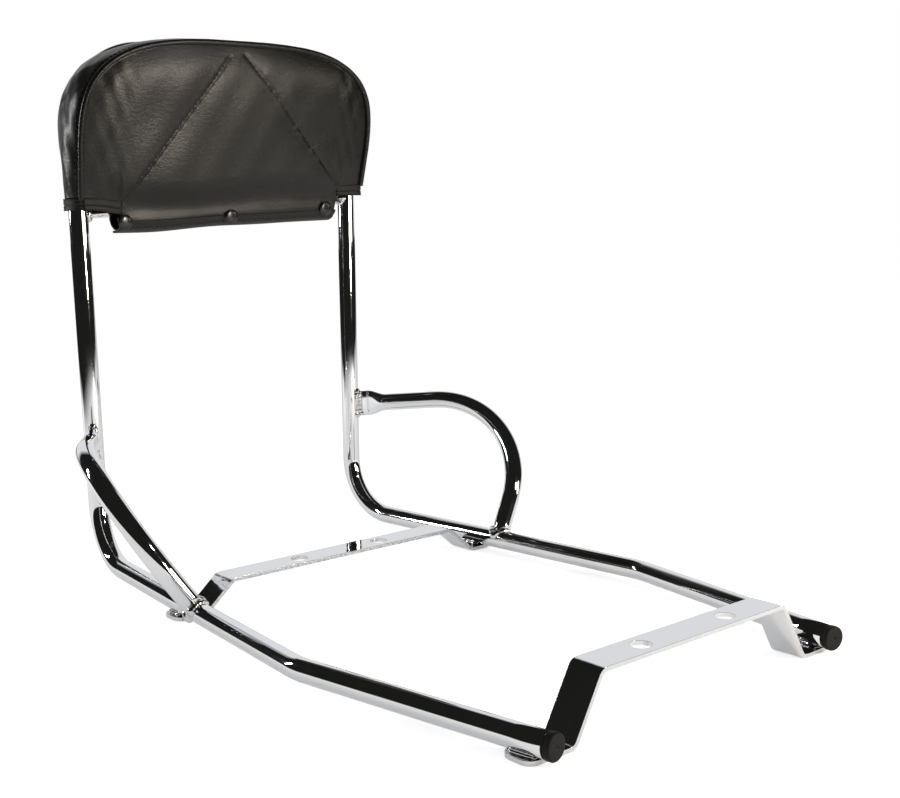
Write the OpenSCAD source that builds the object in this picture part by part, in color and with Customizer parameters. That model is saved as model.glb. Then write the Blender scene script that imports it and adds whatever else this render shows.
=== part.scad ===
// Scooter backrest: a bent tube frame on two cross straps, with side handles and a padded cover.
// Millimetres. +Z is up, the rider faces -Y, the plane X = 0 is the plane of symmetry.
// The frame stands on its four strap feet at Z = 0.

/* [Tube] */
// Outer diameter of the main tube and of the handles
tube_d = 16; // [14:0.5:20]
// Wall thickness of the tube
tube_wall = 1.5; // [1:0.1:2.5]

/* [Main frame] */
// Half width between the centre lines at the rear bends
rear_half_w = 133; // [120:1:150]
// Half width between the centre lines at the kinks
kink_half_w = 165; // [150:1:185]
// Half width between the centre lines at the front ends
front_half_w = 133; // [120:1:150]
// Distance from the rear bends forward to the kinks
kink_reach = 346; // [300:1:400]
// Distance from the rear bends forward to the tube's front ends
front_reach = 541; // [500:1:620]
// Centre line radius of the two rear bends
rear_bend_r = 50; // [30:1:80]
// Centre line radius of the two kinks
kink_r = 60; // [30:1:120]
// Height of the hoop's top centre line above the floor
hoop_z = 436; // [400:1:500]
// Centre line radius of the hoop's two corners
hoop_r = 66; // [40:1:90]
// How far each upright leans outward from its foot to the hoop's corner
hoop_spread = 4; // [0:0.5:10]

/* [Crossbar] */
// Diameter of the rod between the uprights
crossbar_d = 8; // [5:0.5:10]
// Height of the rod's centre line
crossbar_z = 302; // [295:1:310]

/* [Straps] */
// Width of the flat bar
strap_w = 25; // [20:1:35]
// Thickness of the flat bar
strap_t = 3; // [2:0.5:4]
// Inside radius of the flat bar's bends
strap_bend = 3; // [2:0.5:6]
// Radius of the corners at the outer ends of the feet
foot_corner_r = 8; // [3:1:10]
// Diameter of the four fixing holes
hole_d = 14; // [8:0.5:16]
// Distance between the two fixing holes of a strap
hole_spacing = 80; // [60:1:120]

/* [Front strap] */
// Distance from the tube's front ends back to the strap's centre line
front_strap_back = 13.5; // [13.5:0.5:36]
// Height of its top face above the floor
front_strap_z = 43; // [30:1:60]
// Half length of its raised middle
front_strap_half = 86; // [70:1:95]
// Half width at which its legs reach the floor
front_leg_half = 109; // [100:1:112]
// Half width over its feet
front_foot_half = 145; // [142:1:155]

/* [Rear strap] */
// Distance from the rear bends forward to the strap's centre line
rear_strap_reach = 164; // [140:1:170]
// Height of its top face above the floor
rear_strap_z = 24.5; // [18:0.5:35]
// Half length of its raised middle
rear_strap_half = 109; // [90:1:115]
// Half width at which its legs reach the floor
rear_leg_half = 134; // [125:1:134]
// Half width over its feet
rear_foot_half = 158; // [156:1:168]

/* [Handles] */
// Height at which a handle meets the upright
handle_z = 113.5; // [100:0.5:140]
// Distance from the rear bends forward to the handle's foot on the rail
handle_reach = 193; // [185:1:230]
// Outward lean of the handle's plane
handle_lean = 41.5; // [10:0.5:60]
// Angle in that plane at which the handle leaves the upright
handle_rise = 40; // [30:1:50]
// Angle in that plane at which the handle comes down to the rail
handle_drop = 60; // [50:1:80]
// Centre line radius of the handle's bend
handle_bend_r = 88; // [50:1:90]
// Length of the flattened end, from the upright's centre line
blade_len = 20; // [16:1:26]
// Length over which the flattened end grows round
blade_taper = 18; // [10:1:30]
// Thickness of the flattened end
blade_t = 4.5; // [4:0.5:6]
// Height of the flattened end
blade_h = 24; // [18:1:25]

/* [Welds] */
// Leg of the weld beads
weld_leg = 2.4; // [1:0.1:4]

/* [End plugs] */
// Diameter of the plug's head
plug_d = 18; // [17:0.5:22]
// Length of the plug's head
plug_head = 7.5; // [5:0.5:12]
// Length of the plug's shank in the tube
plug_shank = 16; // [8:1:30]
// Rounding of the head's rim
plug_round = 1.6; // [0.5:0.1:2.2]

/* [Pad] */
// Half width of the front panel at its seam
panel_half_w = 139.5; // [132:0.5:142]
// Height at which the pad's sides begin to round over
shoulder_z = 357; // [345:1:375]
// Height of the front panel's top seam
panel_top_z = 439; // [432:0.5:450]
// Exponent of the rounded top, where 2 is an ellipse and more is squarer
outline_power = 3.1; // [2.5:0.1:4]
// How much the sides draw in for each millimetre below the shoulder
side_taper = 0.055; // [0:0.005:0.08]
// Distance of the front seam in front of the uprights, at the sleeves' lower end
seam_base = 13.5; // [13:0.5:20]
// How far the front seam comes forward for each millimetre of height
seam_slope = 0.2; // [0.1:0.01:0.3]
// Height of the stuffed front panel over its seam
panel_puff = 7; // [0:0.5:12]
// Thickness of the cover's vinyl
vinyl_t = 1.2; // [0.8:0.1:2]
// Half width of the back panel
back_half_w = 143; // [141:0.5:150]
// Height of the back panel's top seam
back_top_z = 446; // [440:0.5:460]
// Bulge of the boxing over its seams at the shoulders
boxing_bulge = 8; // [6:0.5:12]
// Bulge of the boxing at the sleeves' lower end
sleeve_bulge = 6.5; // [5.5:0.5:8]
// Radius of the welt piping
piping_r = 1.8; // [1:0.1:2.5]

/* [Lower edge of the cover] */
// Height of the sleeves' lower end
sleeve_z = 305; // [303:0.5:312]
// Height of the binding round the sleeves' lower end
binding_h = 9; // [6:0.5:12]
// Half width of the closing flap between the uprights
flap_half_w = 114; // [95:1:118]
// Height of the flap's upper edge at the front
flap_top_z = 304; // [302:0.5:306]
// Thickness of the binding tape
tape_t = 0.8; // [0.5:0.1:1.5]
// Diameter of the press studs' caps
stud_d = 13; // [10:0.5:15]
// Height of the press studs' domes
stud_dome = 3; // [1.5:0.5:5]
// Distance between neighbouring press studs
stud_pitch = 106; // [70:1:107]
// Height of the press studs' centres
stud_z = 299; // [297:0.5:300]

/* [Hidden] */
$fn = 48;

// Sides of a bent tube, and the largest step of its bends in degrees
tube_sides = 20;
bend_step = 10;
// Steps of the handle's flattened end, and of a weld bead round a tube
blade_steps = 4;
bead_steps = 24;
// Power of the flattened end's section, where 1 is an ellipse and less is squarer
blade_power = 0.5;
// How full the weld beads are, where 0.5 is a straight face
bead_fullness = 0.6;
// Half width of a rail's weld to a strap, as a share of the tube's radius
rail_bead_share = 0.75;
// Shares of a plug's head that are its collar and the groove over it
collar_share = 0.25;
groove_share = 0.1;
// Radius of the dimple in a plug's face
dimple_r = 1.3;
// Crowding of the panel's rows towards its top, where 0 is even
row_crowding = 0.6;
// Powers of the stuffed panel's roundness: larger is flatter in the middle
puff_corner = 3;
puff_edge = 1.6;
// Height over which the panel blends into its flat lower edge
hem_blend = 3;
// Distance from the binding to the foam above it
foam_inset = 6;
// Share of the hem's radius that the flap's binding wraps downward
binding_wrap = 0.8;
// Height of the press studs' rims, and radius of their posts
stud_rim = 0.8;
stud_post_r = 1.5;
// Steps in radius of the press studs' back discs
stud_step = 2;
// Clearance of the back seam behind the uprights
back_clear = 1;
// Clearance between soft pieces, and between them and the frame
gap = 0.3;
// Clearance between a plug's shank and the tube's bore, which has flat sides
plug_gap = 0.1;
// Clearance between the foam and its cover
foam_gap = 0.9;
// Clearance between sewn edges
seam_gap = 0.05;
// Length by which cutting tools run past what they cut
over = 1;

tube_r = tube_d / 2;
bore_r = tube_r - tube_wall;
tube_z = strap_t + tube_r;
back_depth = tube_r + gap + vinyl_t + back_clear;
front_strap_reach = front_reach - front_strap_back;
// Angle by which each rail's front length turns inward
toe_in = atan((kink_half_w - front_half_w) / (front_reach - kink_reach));
front_extent = front_reach + plug_head * cos(toe_in) + (plug_d / 2 - plug_round) * sin(toe_in);
// The origin lies under the middle of the whole, so the uprights stand this far behind it
rear_y = (front_extent - back_depth) / 2;

// Vectors
function unit(v) = v / norm(v);
function mirrored(p) = [-p.x, p.y, p.z];
function lerp(a, b, s) = a + (b - a) * s;
function step01(s) = let (c = min(max(s, 0), 1)) c * c * (3 - 2 * c);
function reversed(list) = [for (i = [len(list) - 1 : -1 : 0]) list[i]];
// A vector turned about a unit axis
function spin(v, axis, a) = v * cos(a) + cross(axis, v) * sin(a) + axis * (axis * v) * (1 - cos(a));

// Frames [point, side, direction] along a path with rounded corners, with no twist between them
function turn(path, i) =
    acos(unit(path[i] - path[i - 1]) * unit(path[i + 1] - path[i]));
function bend_axis(path, i) = unit(cross(path[i] - path[i - 1], path[i + 1] - path[i]));
function bend_frames(path, r, i, side, step) =
    let (
        angle = turn(path, i),
        axis = bend_axis(path, i),
        dir = unit(path[i] - path[i - 1]),
        radial = cross(dir, axis),
        start = path[i] - dir * r * tan(angle / 2),
        centre = start - radial * r,
        n = ceil(angle / step)
    )
    [for (k = [0 : n])
        let (a = angle * k / n)
        [centre + r * spin(radial, axis, a), spin(side, axis, a), spin(dir, axis, a)]];
function frames_from(path, radii, i, side, step) =
    i == len(path) - 1
        ? [[path[i], side, unit(path[i] - path[i - 1])]]
        : concat(
            bend_frames(path, radii[i], i, side, step),
            frames_from(path, radii, i + 1, spin(side, bend_axis(path, i), turn(path, i)), step)
        );
function frames(path, radii, side, step = bend_step) =
    concat([[path[0], side, unit(path[1] - path[0])]], frames_from(path, radii, 1, side, step));

// Ring of points round a frame, w wide along its side and h wide across it.
// A power of 1 gives an ellipse, and less makes the ring squarer.
function rounded(c, power) = sign(c) * pow(abs(c), power);
function ring(frame, w, h, power = 1) =
    let (across = cross(frame[2], frame[1]))
    [for (j = [0 : tube_sides - 1])
        let (a = 360 * j / tube_sides)
        frame[0] + frame[1] * w / 2 * rounded(cos(a), power) + across * h / 2 * rounded(sin(a), power)];
function rings(list, d) = [for (f = list) ring(f, d, d)];

// Solid with a skin over a list of rings, closed back on its first ring or capped at both ends
module skin(list, closed) {
    n = len(list[0]);
    count = len(list);
    last = closed ? count - 1 : count - 2;
    sides = [for (i = [0 : last]) for (j = [0 : n - 1])
        let (
            p = i * n + j,
            q = i * n + (j + 1) % n,
            r = (i + 1) % count * n + (j + 1) % n,
            s = (i + 1) % count * n + j
        )
        each [[p, s, r], [p, r, q]]];
    caps = closed ? [] : [[for (j = [0 : n - 1]) j],
        [for (j = [n - 1 : -1 : 0]) (count - 1) * n + j]];
    polyhedron(points = [for (row = list) each row], faces = concat(sides, caps));
}

// Places children with their X, Y and Z axes along three given unit vectors
module placed(origin, x_axis, y_axis, z_axis) {
    multmatrix([
        [x_axis.x, y_axis.x, z_axis.x, origin.x],
        [x_axis.y, y_axis.y, z_axis.y, origin.y],
        [x_axis.z, y_axis.z, z_axis.z, origin.z],
    ])
        children();
}

// A solid rod between two points, longer by extra at each end
module rod(from, to, r, extra = 0) {
    dir = unit(to - from);
    side = unit(cross(dir, abs(dir.z) > 0.9 ? [0, 1, 0] : [0, 0, 1]));
    placed(from - dir * extra, side, cross(dir, side), dir)
        cylinder(r = r, h = norm(to - from) + 2 * extra);
}

module both_sides() {
    children();
    mirror([1, 0, 0]) children();
}

// Main tube
front_pt = [front_half_w, rear_y - front_reach, tube_z];
kink_pt = [kink_half_w, rear_y - kink_reach, tube_z];
rear_pt = [rear_half_w, rear_y, tube_z];
hoop_pt = [rear_half_w + hoop_spread, rear_y, hoop_z];
half_path = [front_pt, kink_pt, rear_pt, hoop_pt];
main_path = concat(half_path, [for (i = [3 : -1 : 0]) mirrored(half_path[i])]);
main_radii = [0, kink_r, rear_bend_r, hoop_r, hoop_r, rear_bend_r, kink_r, 0];

// Points on the centre line of the right upright and of the right rail
function upright_at(z) = lerp(rear_pt, hoop_pt, (z - tube_z) / (hoop_z - tube_z));
function rail_at(reach) = reach < kink_reach
    ? lerp(rear_pt, kink_pt, reach / kink_reach)
    : lerp(kink_pt, front_pt, (reach - kink_reach) / (front_reach - kink_reach));
// Angle of the right rail from straight ahead, positive where it spreads
function rail_angle(reach) = reach < kink_reach
    ? atan((kink_half_w - rear_half_w) / kink_reach)
    : -toe_in;

module main_tube() {
    line = frames(main_path, main_radii, [0, 0, 1]);
    color("gainsboro")
        skin(concat(rings(line, tube_d), reversed(rings(line, 2 * bore_r))), true);
}

module upright_rod(r) {
    rod(rear_pt, hoop_pt, r);
}

module rail_rod(r) {
    rod(rear_pt, kink_pt, r);
}

module crossbar_rod(r) {
    rod(mirrored(upright_at(crossbar_z)), upright_at(crossbar_z), r);
}

module crossbar() {
    color("gainsboro") difference() {
        crossbar_rod(crossbar_d / 2);
        both_sides() upright_rod(tube_r);
    }
}

// Cross straps
function strap_path(top_z, half, leg_half, foot_half, reach) =
    let (
        y = rear_y - reach,
        side = [
            [foot_half, y, strap_t / 2],
            [leg_half, y, strap_t / 2],
            [half, y, top_z - strap_t / 2],
        ]
    )
    [side[0], side[1], side[2], mirrored(side[2]), mirrored(side[1]), mirrored(side[0])];

module foot_corner_cut(foot_half, y) {
    for (end = [-1, 1])
        translate([foot_half - foot_corner_r, y + end * (strap_w / 2 - foot_corner_r), -over])
            mirror([0, end < 0 ? 1 : 0, 0])
                linear_extrude(height = strap_t + 2 * over)
                    difference() {
                        square(foot_corner_r + over);
                        circle(r = foot_corner_r);
                    }
}

module strap(top_z, half, leg_half, foot_half, reach) {
    bend_r = strap_bend + strap_t / 2;
    y = rear_y - reach;
    line = frames(strap_path(top_z, half, leg_half, foot_half, reach),
        [0, bend_r, bend_r, bend_r, bend_r, 0], [0, 0, 1]);
    top = [for (f = line) [f[0].x, f[0].z] + [f[1].x, f[1].z] * strap_t / 2];
    bottom = [for (f = line) [f[0].x, f[0].z] - [f[1].x, f[1].z] * strap_t / 2];
    color("gainsboro") difference() {
        translate([0, y + strap_w / 2, 0])
            rotate([90, 0, 0])
                linear_extrude(height = strap_w) polygon(concat(top, reversed(bottom)));
        for (side = [-1, 1])
            translate([side * hole_spacing / 2, y, top_z - strap_t - over])
                cylinder(d = hole_d, h = strap_t + 2 * over);
        both_sides() foot_corner_cut(foot_half, y);
    }
}

module front_strap() {
    strap(front_strap_z, front_strap_half, front_leg_half, front_foot_half, front_strap_reach);
}

module rear_strap() {
    strap(rear_strap_z, rear_strap_half, rear_leg_half, rear_foot_half, rear_strap_reach);
}

// Two fillet beads in the corners between the right rail and the foot under it
module foot_beads(reach) {
    bead_r = tube_r * rail_bead_share;
    translate(rail_at(reach))
        rotate([90, 0, rail_angle(reach)])
            linear_extrude(height = strap_w - foot_corner_r, center = true)
                difference() {
                    translate([-bead_r, -tube_r]) square([2 * bead_r, weld_leg]);
                    circle(r = tube_r);
                    square([bead_r, 2 * tube_d], center = true);
                }
}

module front_strap_welds() {
    color("darkkhaki") both_sides() foot_beads(front_strap_reach);
}

module rear_strap_welds() {
    color("darkkhaki") both_sides() foot_beads(rear_strap_reach);
}

module crossbar_welds() {
    color("darkkhaki") both_sides() difference() {
        intersection() {
            crossbar_rod(crossbar_d / 2 + weld_leg);
            rod(upright_at(crossbar_z - tube_d), upright_at(crossbar_z + tube_d), tube_r + weld_leg);
            translate(upright_at(crossbar_z) - [tube_d, tube_d, tube_d])
                cube([tube_d, 2 * tube_d, 2 * tube_d]);
        }
        crossbar_rod(crossbar_d / 2);
        upright_rod(tube_r);
    }
}

// Handles. A handle lies in one plane that holds its two ends and leans outward.
handle_top = upright_at(handle_z);
handle_foot = rail_at(handle_reach);
handle_chord = unit(handle_foot - handle_top);
handle_out = unit([1, 0, 0] - handle_chord * handle_chord.x);
handle_up = cross(handle_chord, handle_out);
handle_side = handle_up * cos(handle_lean) + handle_out * sin(handle_lean);
handle_leg = norm(handle_foot - handle_top) * sin(handle_drop) / sin(handle_rise + handle_drop);
handle_start_dir = handle_chord * cos(handle_rise) + handle_side * sin(handle_rise);
handle_corner = handle_top + handle_start_dir * handle_leg;
handle_end_dir = unit(handle_foot - handle_corner);
round_start = handle_top + handle_start_dir * (blade_len + blade_taper);

handle_tall = unit([0, 0, 1] - handle_start_dir * handle_start_dir.z);
handle_flat = cross(handle_tall, handle_start_dir);

// Ring of the flattened end: share runs from 0, flat, to 1, round
function blade_ring(distance, share) =
    ring([handle_top + handle_start_dir * distance, handle_flat, handle_start_dir],
        lerp(blade_t, tube_d, share), lerp(blade_h, tube_d, share), lerp(blade_power, 1, share));

module right_handle() {
    line = frames([round_start, handle_corner, handle_foot], [0, handle_bend_r, 0], handle_flat);
    flat_rings = concat(
        [blade_ring(0, 0)],
        [for (i = [0 : blade_steps - 1])
            blade_ring(blade_len + blade_taper * i / blade_steps, step01(i / blade_steps))]
    );
    color("gainsboro") difference() {
        skin(concat(flat_rings, rings(line, tube_d), reversed(rings(line, 2 * bore_r))), false);
        upright_rod(tube_r);
        rail_rod(tube_r);
    }
}

module handle_right() {
    right_handle();
}

module handle_left() {
    mirror([1, 0, 0]) right_handle();
}

// Distance along a handle's generator, back from its foot, at which it meets the rail's surface
rail_dir = unit(kink_pt - rear_pt);
function across_rail(v) = v - rail_dir * (v * rail_dir);
function saddle_distance(offset, r) =
    let (
        o = across_rail(offset),
        d = across_rail(-handle_end_dir),
        b = o * d,
        c = o * o - r * r
    )
    (-b + sqrt(max(b * b - (d * d) * c, 0))) / (d * d);

module right_foot_bead() {
    side = unit(cross(handle_end_dir, [0, 1, 0]));
    other = cross(handle_end_dir, side);
    bead_rings = [for (k = [0 : bead_steps - 1])
        let (
            a = 360 * k / bead_steps,
            out = side * cos(a) + other * sin(a),
            near = out * (tube_r + seam_gap),
            far = out * (tube_r + weld_leg),
            low = saddle_distance(near, tube_r + seam_gap),
            foot = saddle_distance(far, tube_r + seam_gap),
            crown = lerp(low, foot, bead_fullness) + weld_leg * bead_fullness
        )
        [
            handle_foot + near - handle_end_dir * low,
            handle_foot + far - handle_end_dir * foot,
            handle_foot + lerp(near, far, bead_fullness) - handle_end_dir * crown,
            handle_foot + near - handle_end_dir * (low + weld_leg),
        ]];
    skin(bead_rings, true);
}

module handle_foot_welds() {
    color("darkkhaki") both_sides() difference() {
        right_foot_bead();
        rail_rod(tube_r);
    }
}

module handle_top_welds() {
    shape = [[blade_t / 2, blade_h / 2], [blade_t / 2 + weld_leg, blade_h / 2 + weld_leg]];
    color("darkkhaki") both_sides() difference() {
        intersection() {
            placed(handle_top, handle_flat, handle_tall, handle_start_dir)
                linear_extrude(height = blade_len) square(2 * shape[1], center = true);
            upright_rod(tube_r + weld_leg);
        }
        placed(handle_top, handle_flat, handle_tall, handle_start_dir)
            translate([0, 0, -over])
                linear_extrude(height = blade_len + 2 * over) square(2 * shape[0], center = true);
        upright_rod(tube_r);
    }
}

// End plugs
module end_plug() {
    head_r = plug_d / 2;
    collar_h = plug_head * collar_share;
    groove_h = plug_head * groove_share;
    cap_h = plug_head - collar_h - groove_h;
    color("dimgray") difference() {
        union() {
            translate([0, 0, -plug_shank]) cylinder(r = bore_r - plug_gap, h = plug_shank + over);
            cylinder(r = tube_r + (head_r - tube_r) / 2, h = collar_h);
            translate([0, 0, collar_h / 2]) cylinder(r = tube_r - gap, h = plug_head / 2);
            translate([0, 0, plug_head - cap_h]) rotate_extrude() {
                square([head_r, cap_h - plug_round]);
                square([head_r - plug_round, cap_h]);
                translate([head_r - plug_round, cap_h - plug_round])
                    intersection() {
                        circle(r = plug_round);
                        square(plug_round);
                    }
            }
        }
        translate([0, 0, plug_head + dimple_r / 2]) sphere(r = dimple_r);
    }
}

module right_plug() {
    translate(front_pt) rotate([90, 0, -toe_in]) end_plug();
}

module end_plug_right() {
    right_plug();
}

module end_plug_left() {
    mirror([1, 0, 0]) right_plug();
}

// Pad outline
panel_rise = panel_top_z - shoulder_z;
back_rise = back_top_z - shoulder_z;
boxing_low_z = sleeve_z + binding_h;
side_steps = 5;
top_steps = 36;
section_steps = 10;

// Height of the rounded top above the shoulder at a share u of the half width
function top_share(u) = pow(max(1 - pow(abs(u), outline_power), 0), 1 / outline_power);
// Depth of the front seam at a height
function seam_y(z) = rear_y - seam_base - seam_slope * (z - sleeve_z);
// Half width at a height below the shoulder
function side_x(half_w, z) = half_w - side_taper * max(shoulder_z - z, 0);

// Point of an outline in XZ: t runs from 0 at the left lower end over the top to 1
function outline(t, half_w, rise, low_z) =
    let (
        n = 2 * side_steps + top_steps,
        k = t * n,
        u = (k - side_steps) / top_steps * 180,
        low = k < side_steps ? k / side_steps : (n - k) / side_steps,
        z_side = lerp(low_z, shoulder_z, low),
        e = 2 / outline_power
    )
    k < side_steps ? [-side_x(half_w, z_side), z_side]
    : k > n - side_steps ? [side_x(half_w, z_side), z_side]
    : [-sign(cos(u)) * pow(abs(cos(u)), e) * half_w, shoulder_z + pow(abs(sin(u)), e) * rise];

outline_steps = 2 * side_steps + top_steps;
function outline_points(half_w, rise, low_z) =
    [for (k = [0 : outline_steps]) outline(k / outline_steps, half_w, rise, low_z)];
// Outward direction of an outline's point, from its neighbours
function outward(points, k) =
    let (
        a = points[max(k - 1, 0)],
        b = points[min(k + 1, len(points) - 1)],
        d = unit(b - a)
    )
    [-d.y, d.x];

// Closed solid between two grids of points that share their rows and columns
module between_grids(front, back) {
    rows = len(front);
    cols = len(front[0]);
    size = rows * cols;
    points = concat([for (row = front) each row], [for (row = back) each row]);
    rim = concat(
        [for (j = [0 : cols - 1]) j],
        [for (i = [1 : rows - 1]) i * cols + cols - 1],
        [for (j = [cols - 2 : -1 : 0]) (rows - 1) * cols + j],
        [for (i = [rows - 2 : -1 : 1]) i * cols]
    );
    faces = concat(
        [for (i = [0 : rows - 2]) for (j = [0 : cols - 2]) each [
            [i * cols + j, (i + 1) * cols + j + 1, i * cols + j + 1],
            [i * cols + j, (i + 1) * cols + j, (i + 1) * cols + j + 1],
            [size + i * cols + j, size + i * cols + j + 1, size + (i + 1) * cols + j + 1],
            [size + i * cols + j, size + (i + 1) * cols + j + 1, size + (i + 1) * cols + j],
        ]],
        [for (k = [0 : len(rim) - 1]) let (a = rim[k], b = rim[(k + 1) % len(rim)]) each [
            [b, size + a, a],
            [b, size + b, size + a],
        ]]
    );
    polyhedron(points = points, faces = faces);
}

// Front panel: columns stand side by side, closer together towards the sides
panel_columns = 26;
panel_rows = 14;
flap_edge = 4;

function column_u(i) = sin(lerp(-90, 90, i / panel_columns));
// The lower edge drops between the uprights, where the closing flap holds it
function flap_share(x) = step01((flap_half_w - abs(x)) / flap_edge);
function panel_low_z(x) = lerp(sleeve_z + gap, stud_z - stud_step, flap_share(x));
// Height below which the panel lies flat under its binding
function flat_low_z(x) = lerp(boxing_low_z, flap_top_z, flap_share(x)) + hem_blend;
function puff_share(u, x, z) =
    let (q = z > shoulder_z
        ? (z - shoulder_z) / panel_rise
        : (shoulder_z - z) / (shoulder_z - flat_low_z(x)))
    1 - pow(min(pow(abs(u), puff_corner) + pow(q, puff_corner), 1), puff_edge);
// The closing flap presses the panel's lower edge back
function pressed(x, z) = flap_share(x) * step01((flap_top_z + hem_blend / 2 - z) / hem_blend)
    * (rear_y - hem_front - seam_y(z));

// One column of the panel's surface, offset inward by depth and raised by trim at its foot
function panel_column(u, depth, inset, low_trim) =
    let (
        half_w = panel_half_w - inset,
        x_ref = u * half_w,
        top = shoulder_z + top_share(u) * (panel_rise - inset),
        low = max(panel_low_z(x_ref), low_trim)
    )
    [for (j = [0 : panel_rows])
        let (
            v = j / panel_rows,
            z = lerp(low, top, v * (1 + row_crowding - row_crowding * v)),
            x = u * side_x(half_w, z)
        )
        [x, seam_y(z) + pressed(x, z) - panel_puff * puff_share(u, x, z) + depth, z]];

module cover_front_panel() {
    color("black")
        between_grids(
            [for (i = [0 : panel_columns]) panel_column(column_u(i), vinyl_t, 0, 0)],
            [for (i = [0 : panel_columns]) panel_column(column_u(i), 0, 0, 0)]
        );
}

// Foam in front of the hoop, flat at its back
foam_low_z = flap_top_z + foam_inset;
foam_back_y = rear_y - tube_r - gap;

module foam_pad() {
    front = [for (i = [0 : panel_columns])
        panel_column(column_u(i), vinyl_t + foam_gap, vinyl_t + foam_gap, foam_low_z)];
    back = [for (column = front) [for (p = column) [p.x, foam_back_y, p.z]]];
    color("khaki") between_grids(back, front);
}

// Foam that fills the hoop, with corners that follow the hoop's inside
module foam_infill() {
    clear = tube_r + gap;
    corner_r = hoop_r - clear;
    low = upright_at(foam_low_z).x - clear;
    high = upright_at(hoop_z - hoop_r).x - clear;
    centre = [high - corner_r, hoop_z - hoop_r];
    corner = [for (a = [0 : 7.5 : 90]) centre + corner_r * [cos(a), sin(a)]];
    half = concat([[low, foam_low_z]], corner);
    points = concat(half, [for (i = [len(half) - 1 : -1 : 0]) [-half[i].x, half[i].y]]);
    color("khaki")
        translate([0, rear_y + tube_r, 0])
            rotate([90, 0, 0])
                linear_extrude(height = 2 * tube_r) polygon(points);
}

// Boxing between the front seam and the back seam, over the hoop
panel_edge = outline_points(panel_half_w, panel_rise, boxing_low_z);
back_edge = outline_points(back_half_w, back_rise, boxing_low_z);
boxing_back_y = rear_y + back_depth - vinyl_t - seam_gap;

function bulge_at(z) =
    lerp(sleeve_bulge, boxing_bulge, step01((z - sleeve_z) / (shoulder_z - sleeve_z)));
// Point of the boxing at outline step k and angle a from the front seam, inset by depth
function boxing_point(k, a, inset) =
    let (
        f = panel_edge[k],
        b = back_edge[k],
        share = (1 - cos(a)) / 2,
        front_y = seam_y(f.y) + vinyl_t + seam_gap,
        mid = (front_y + boxing_back_y) / 2,
        half = (boxing_back_y - front_y) / 2 - inset,
        p = lerp(f, b, share) + outward(panel_edge, k) * (bulge_at(f.y) - inset) * sin(a)
    )
    [p.x, mid - half * cos(a), p.y];

function boxing_rows(inset) =
    [for (k = [0 : outline_steps])
        [for (j = [0 : section_steps]) boxing_point(k, j / section_steps * 180, inset)]];

module cover_boxing() {
    color("black") between_grids(boxing_rows(vinyl_t), boxing_rows(0));
}

// Back panel, which turns under the crossbar and closes on the front with press studs
hem_r = (back_depth + seam_base + vinyl_t) / 2;
hem_mid = back_depth - hem_r;
hem_front = hem_r - hem_mid - 2 * vinyl_t - gap;
hem_z = crossbar_z;

// Section of the hem between two radii, open at the top, in YZ with Y from the uprights
module hem_section(outer_r, inner_r, back_top, front_top) {
    difference() {
        union() {
            intersection() {
                translate([hem_mid, hem_z]) circle(r = outer_r);
                translate([hem_mid - outer_r, hem_z - outer_r]) square([2 * outer_r, outer_r]);
            }
            translate([hem_mid, hem_z]) square([outer_r, back_top - hem_z]);
            translate([hem_mid - outer_r, hem_z]) square([outer_r, front_top - hem_z]);
        }
        translate([hem_mid, hem_z]) circle(r = inner_r);
        translate([hem_mid - inner_r, hem_z]) square([2 * inner_r, outer_r + over]);
    }
}

module across(half_w) {
    translate([-half_w, rear_y, 0])
        rotate([90, 0, 90])
            linear_extrude(height = 2 * half_w) children();
}

// Holes for the press studs' posts, or their posts
module stud_posts(r) {
    for (i = [-1 : 1])
        translate([i * stud_pitch, rear_y + hem_mid, stud_z])
            rotate([90, 0, 0])
                cylinder(r = r, h = hem_r + tape_t + over);
}

module cover_back_panel() {
    edge = outline_points(back_half_w, back_rise, sleeve_z);
    color("black") {
        translate([0, rear_y + back_depth, 0])
            rotate([90, 0, 0])
                linear_extrude(height = vinyl_t) polygon(edge);
        difference() {
            across(flap_half_w) hem_section(hem_r, hem_r - vinyl_t, sleeve_z + over, flap_top_z);
            stud_posts(stud_post_r + gap / 2);
        }
    }
}

module flap_binding() {
    low = hem_z - hem_r * binding_wrap;
    color("dimgray") difference() {
        across(flap_half_w)
            intersection() {
                hem_section(hem_r + tape_t, hem_r, hem_z + over, flap_top_z);
                translate([-2 * hem_r, low]) square([2 * hem_r + hem_mid - tube_wall, flap_top_z - low]);
            }
        stud_posts(stud_post_r + gap / 2);
    }
}

module press_stud_caps() {
    cap_r = stud_d / 2;
    dome_r = (cap_r * cap_r + stud_dome * stud_dome) / (2 * stud_dome);
    color("black") {
        for (i = [-1 : 1])
            translate([i * stud_pitch, rear_y + hem_mid - hem_r - tape_t, stud_z])
                rotate([90, 0, 0]) {
                    cylinder(r = cap_r, h = stud_rim);
                    intersection() {
                        translate([0, 0, stud_rim + stud_dome - dome_r]) sphere(r = dome_r);
                        translate([0, 0, stud_rim]) cylinder(r = cap_r, h = stud_dome + over);
                    }
                    translate([0, 0, -vinyl_t]) cylinder(r = stud_post_r, h = vinyl_t + over);
                }
    }
}

module press_stud_backs() {
    back_r = stud_d / 2 - stud_step;
    color("black")
        for (i = [-1 : 1])
            translate([i * stud_pitch, rear_y - hem_front + vinyl_t + gap, stud_z])
                rotate([-90, 0, 0]) {
                    cylinder(r = back_r, h = stud_rim);
                    cylinder(r = back_r - stud_step, h = 2 * stud_rim);
                }
}

// Piping along the front seam
piping_sides = 8;

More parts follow.
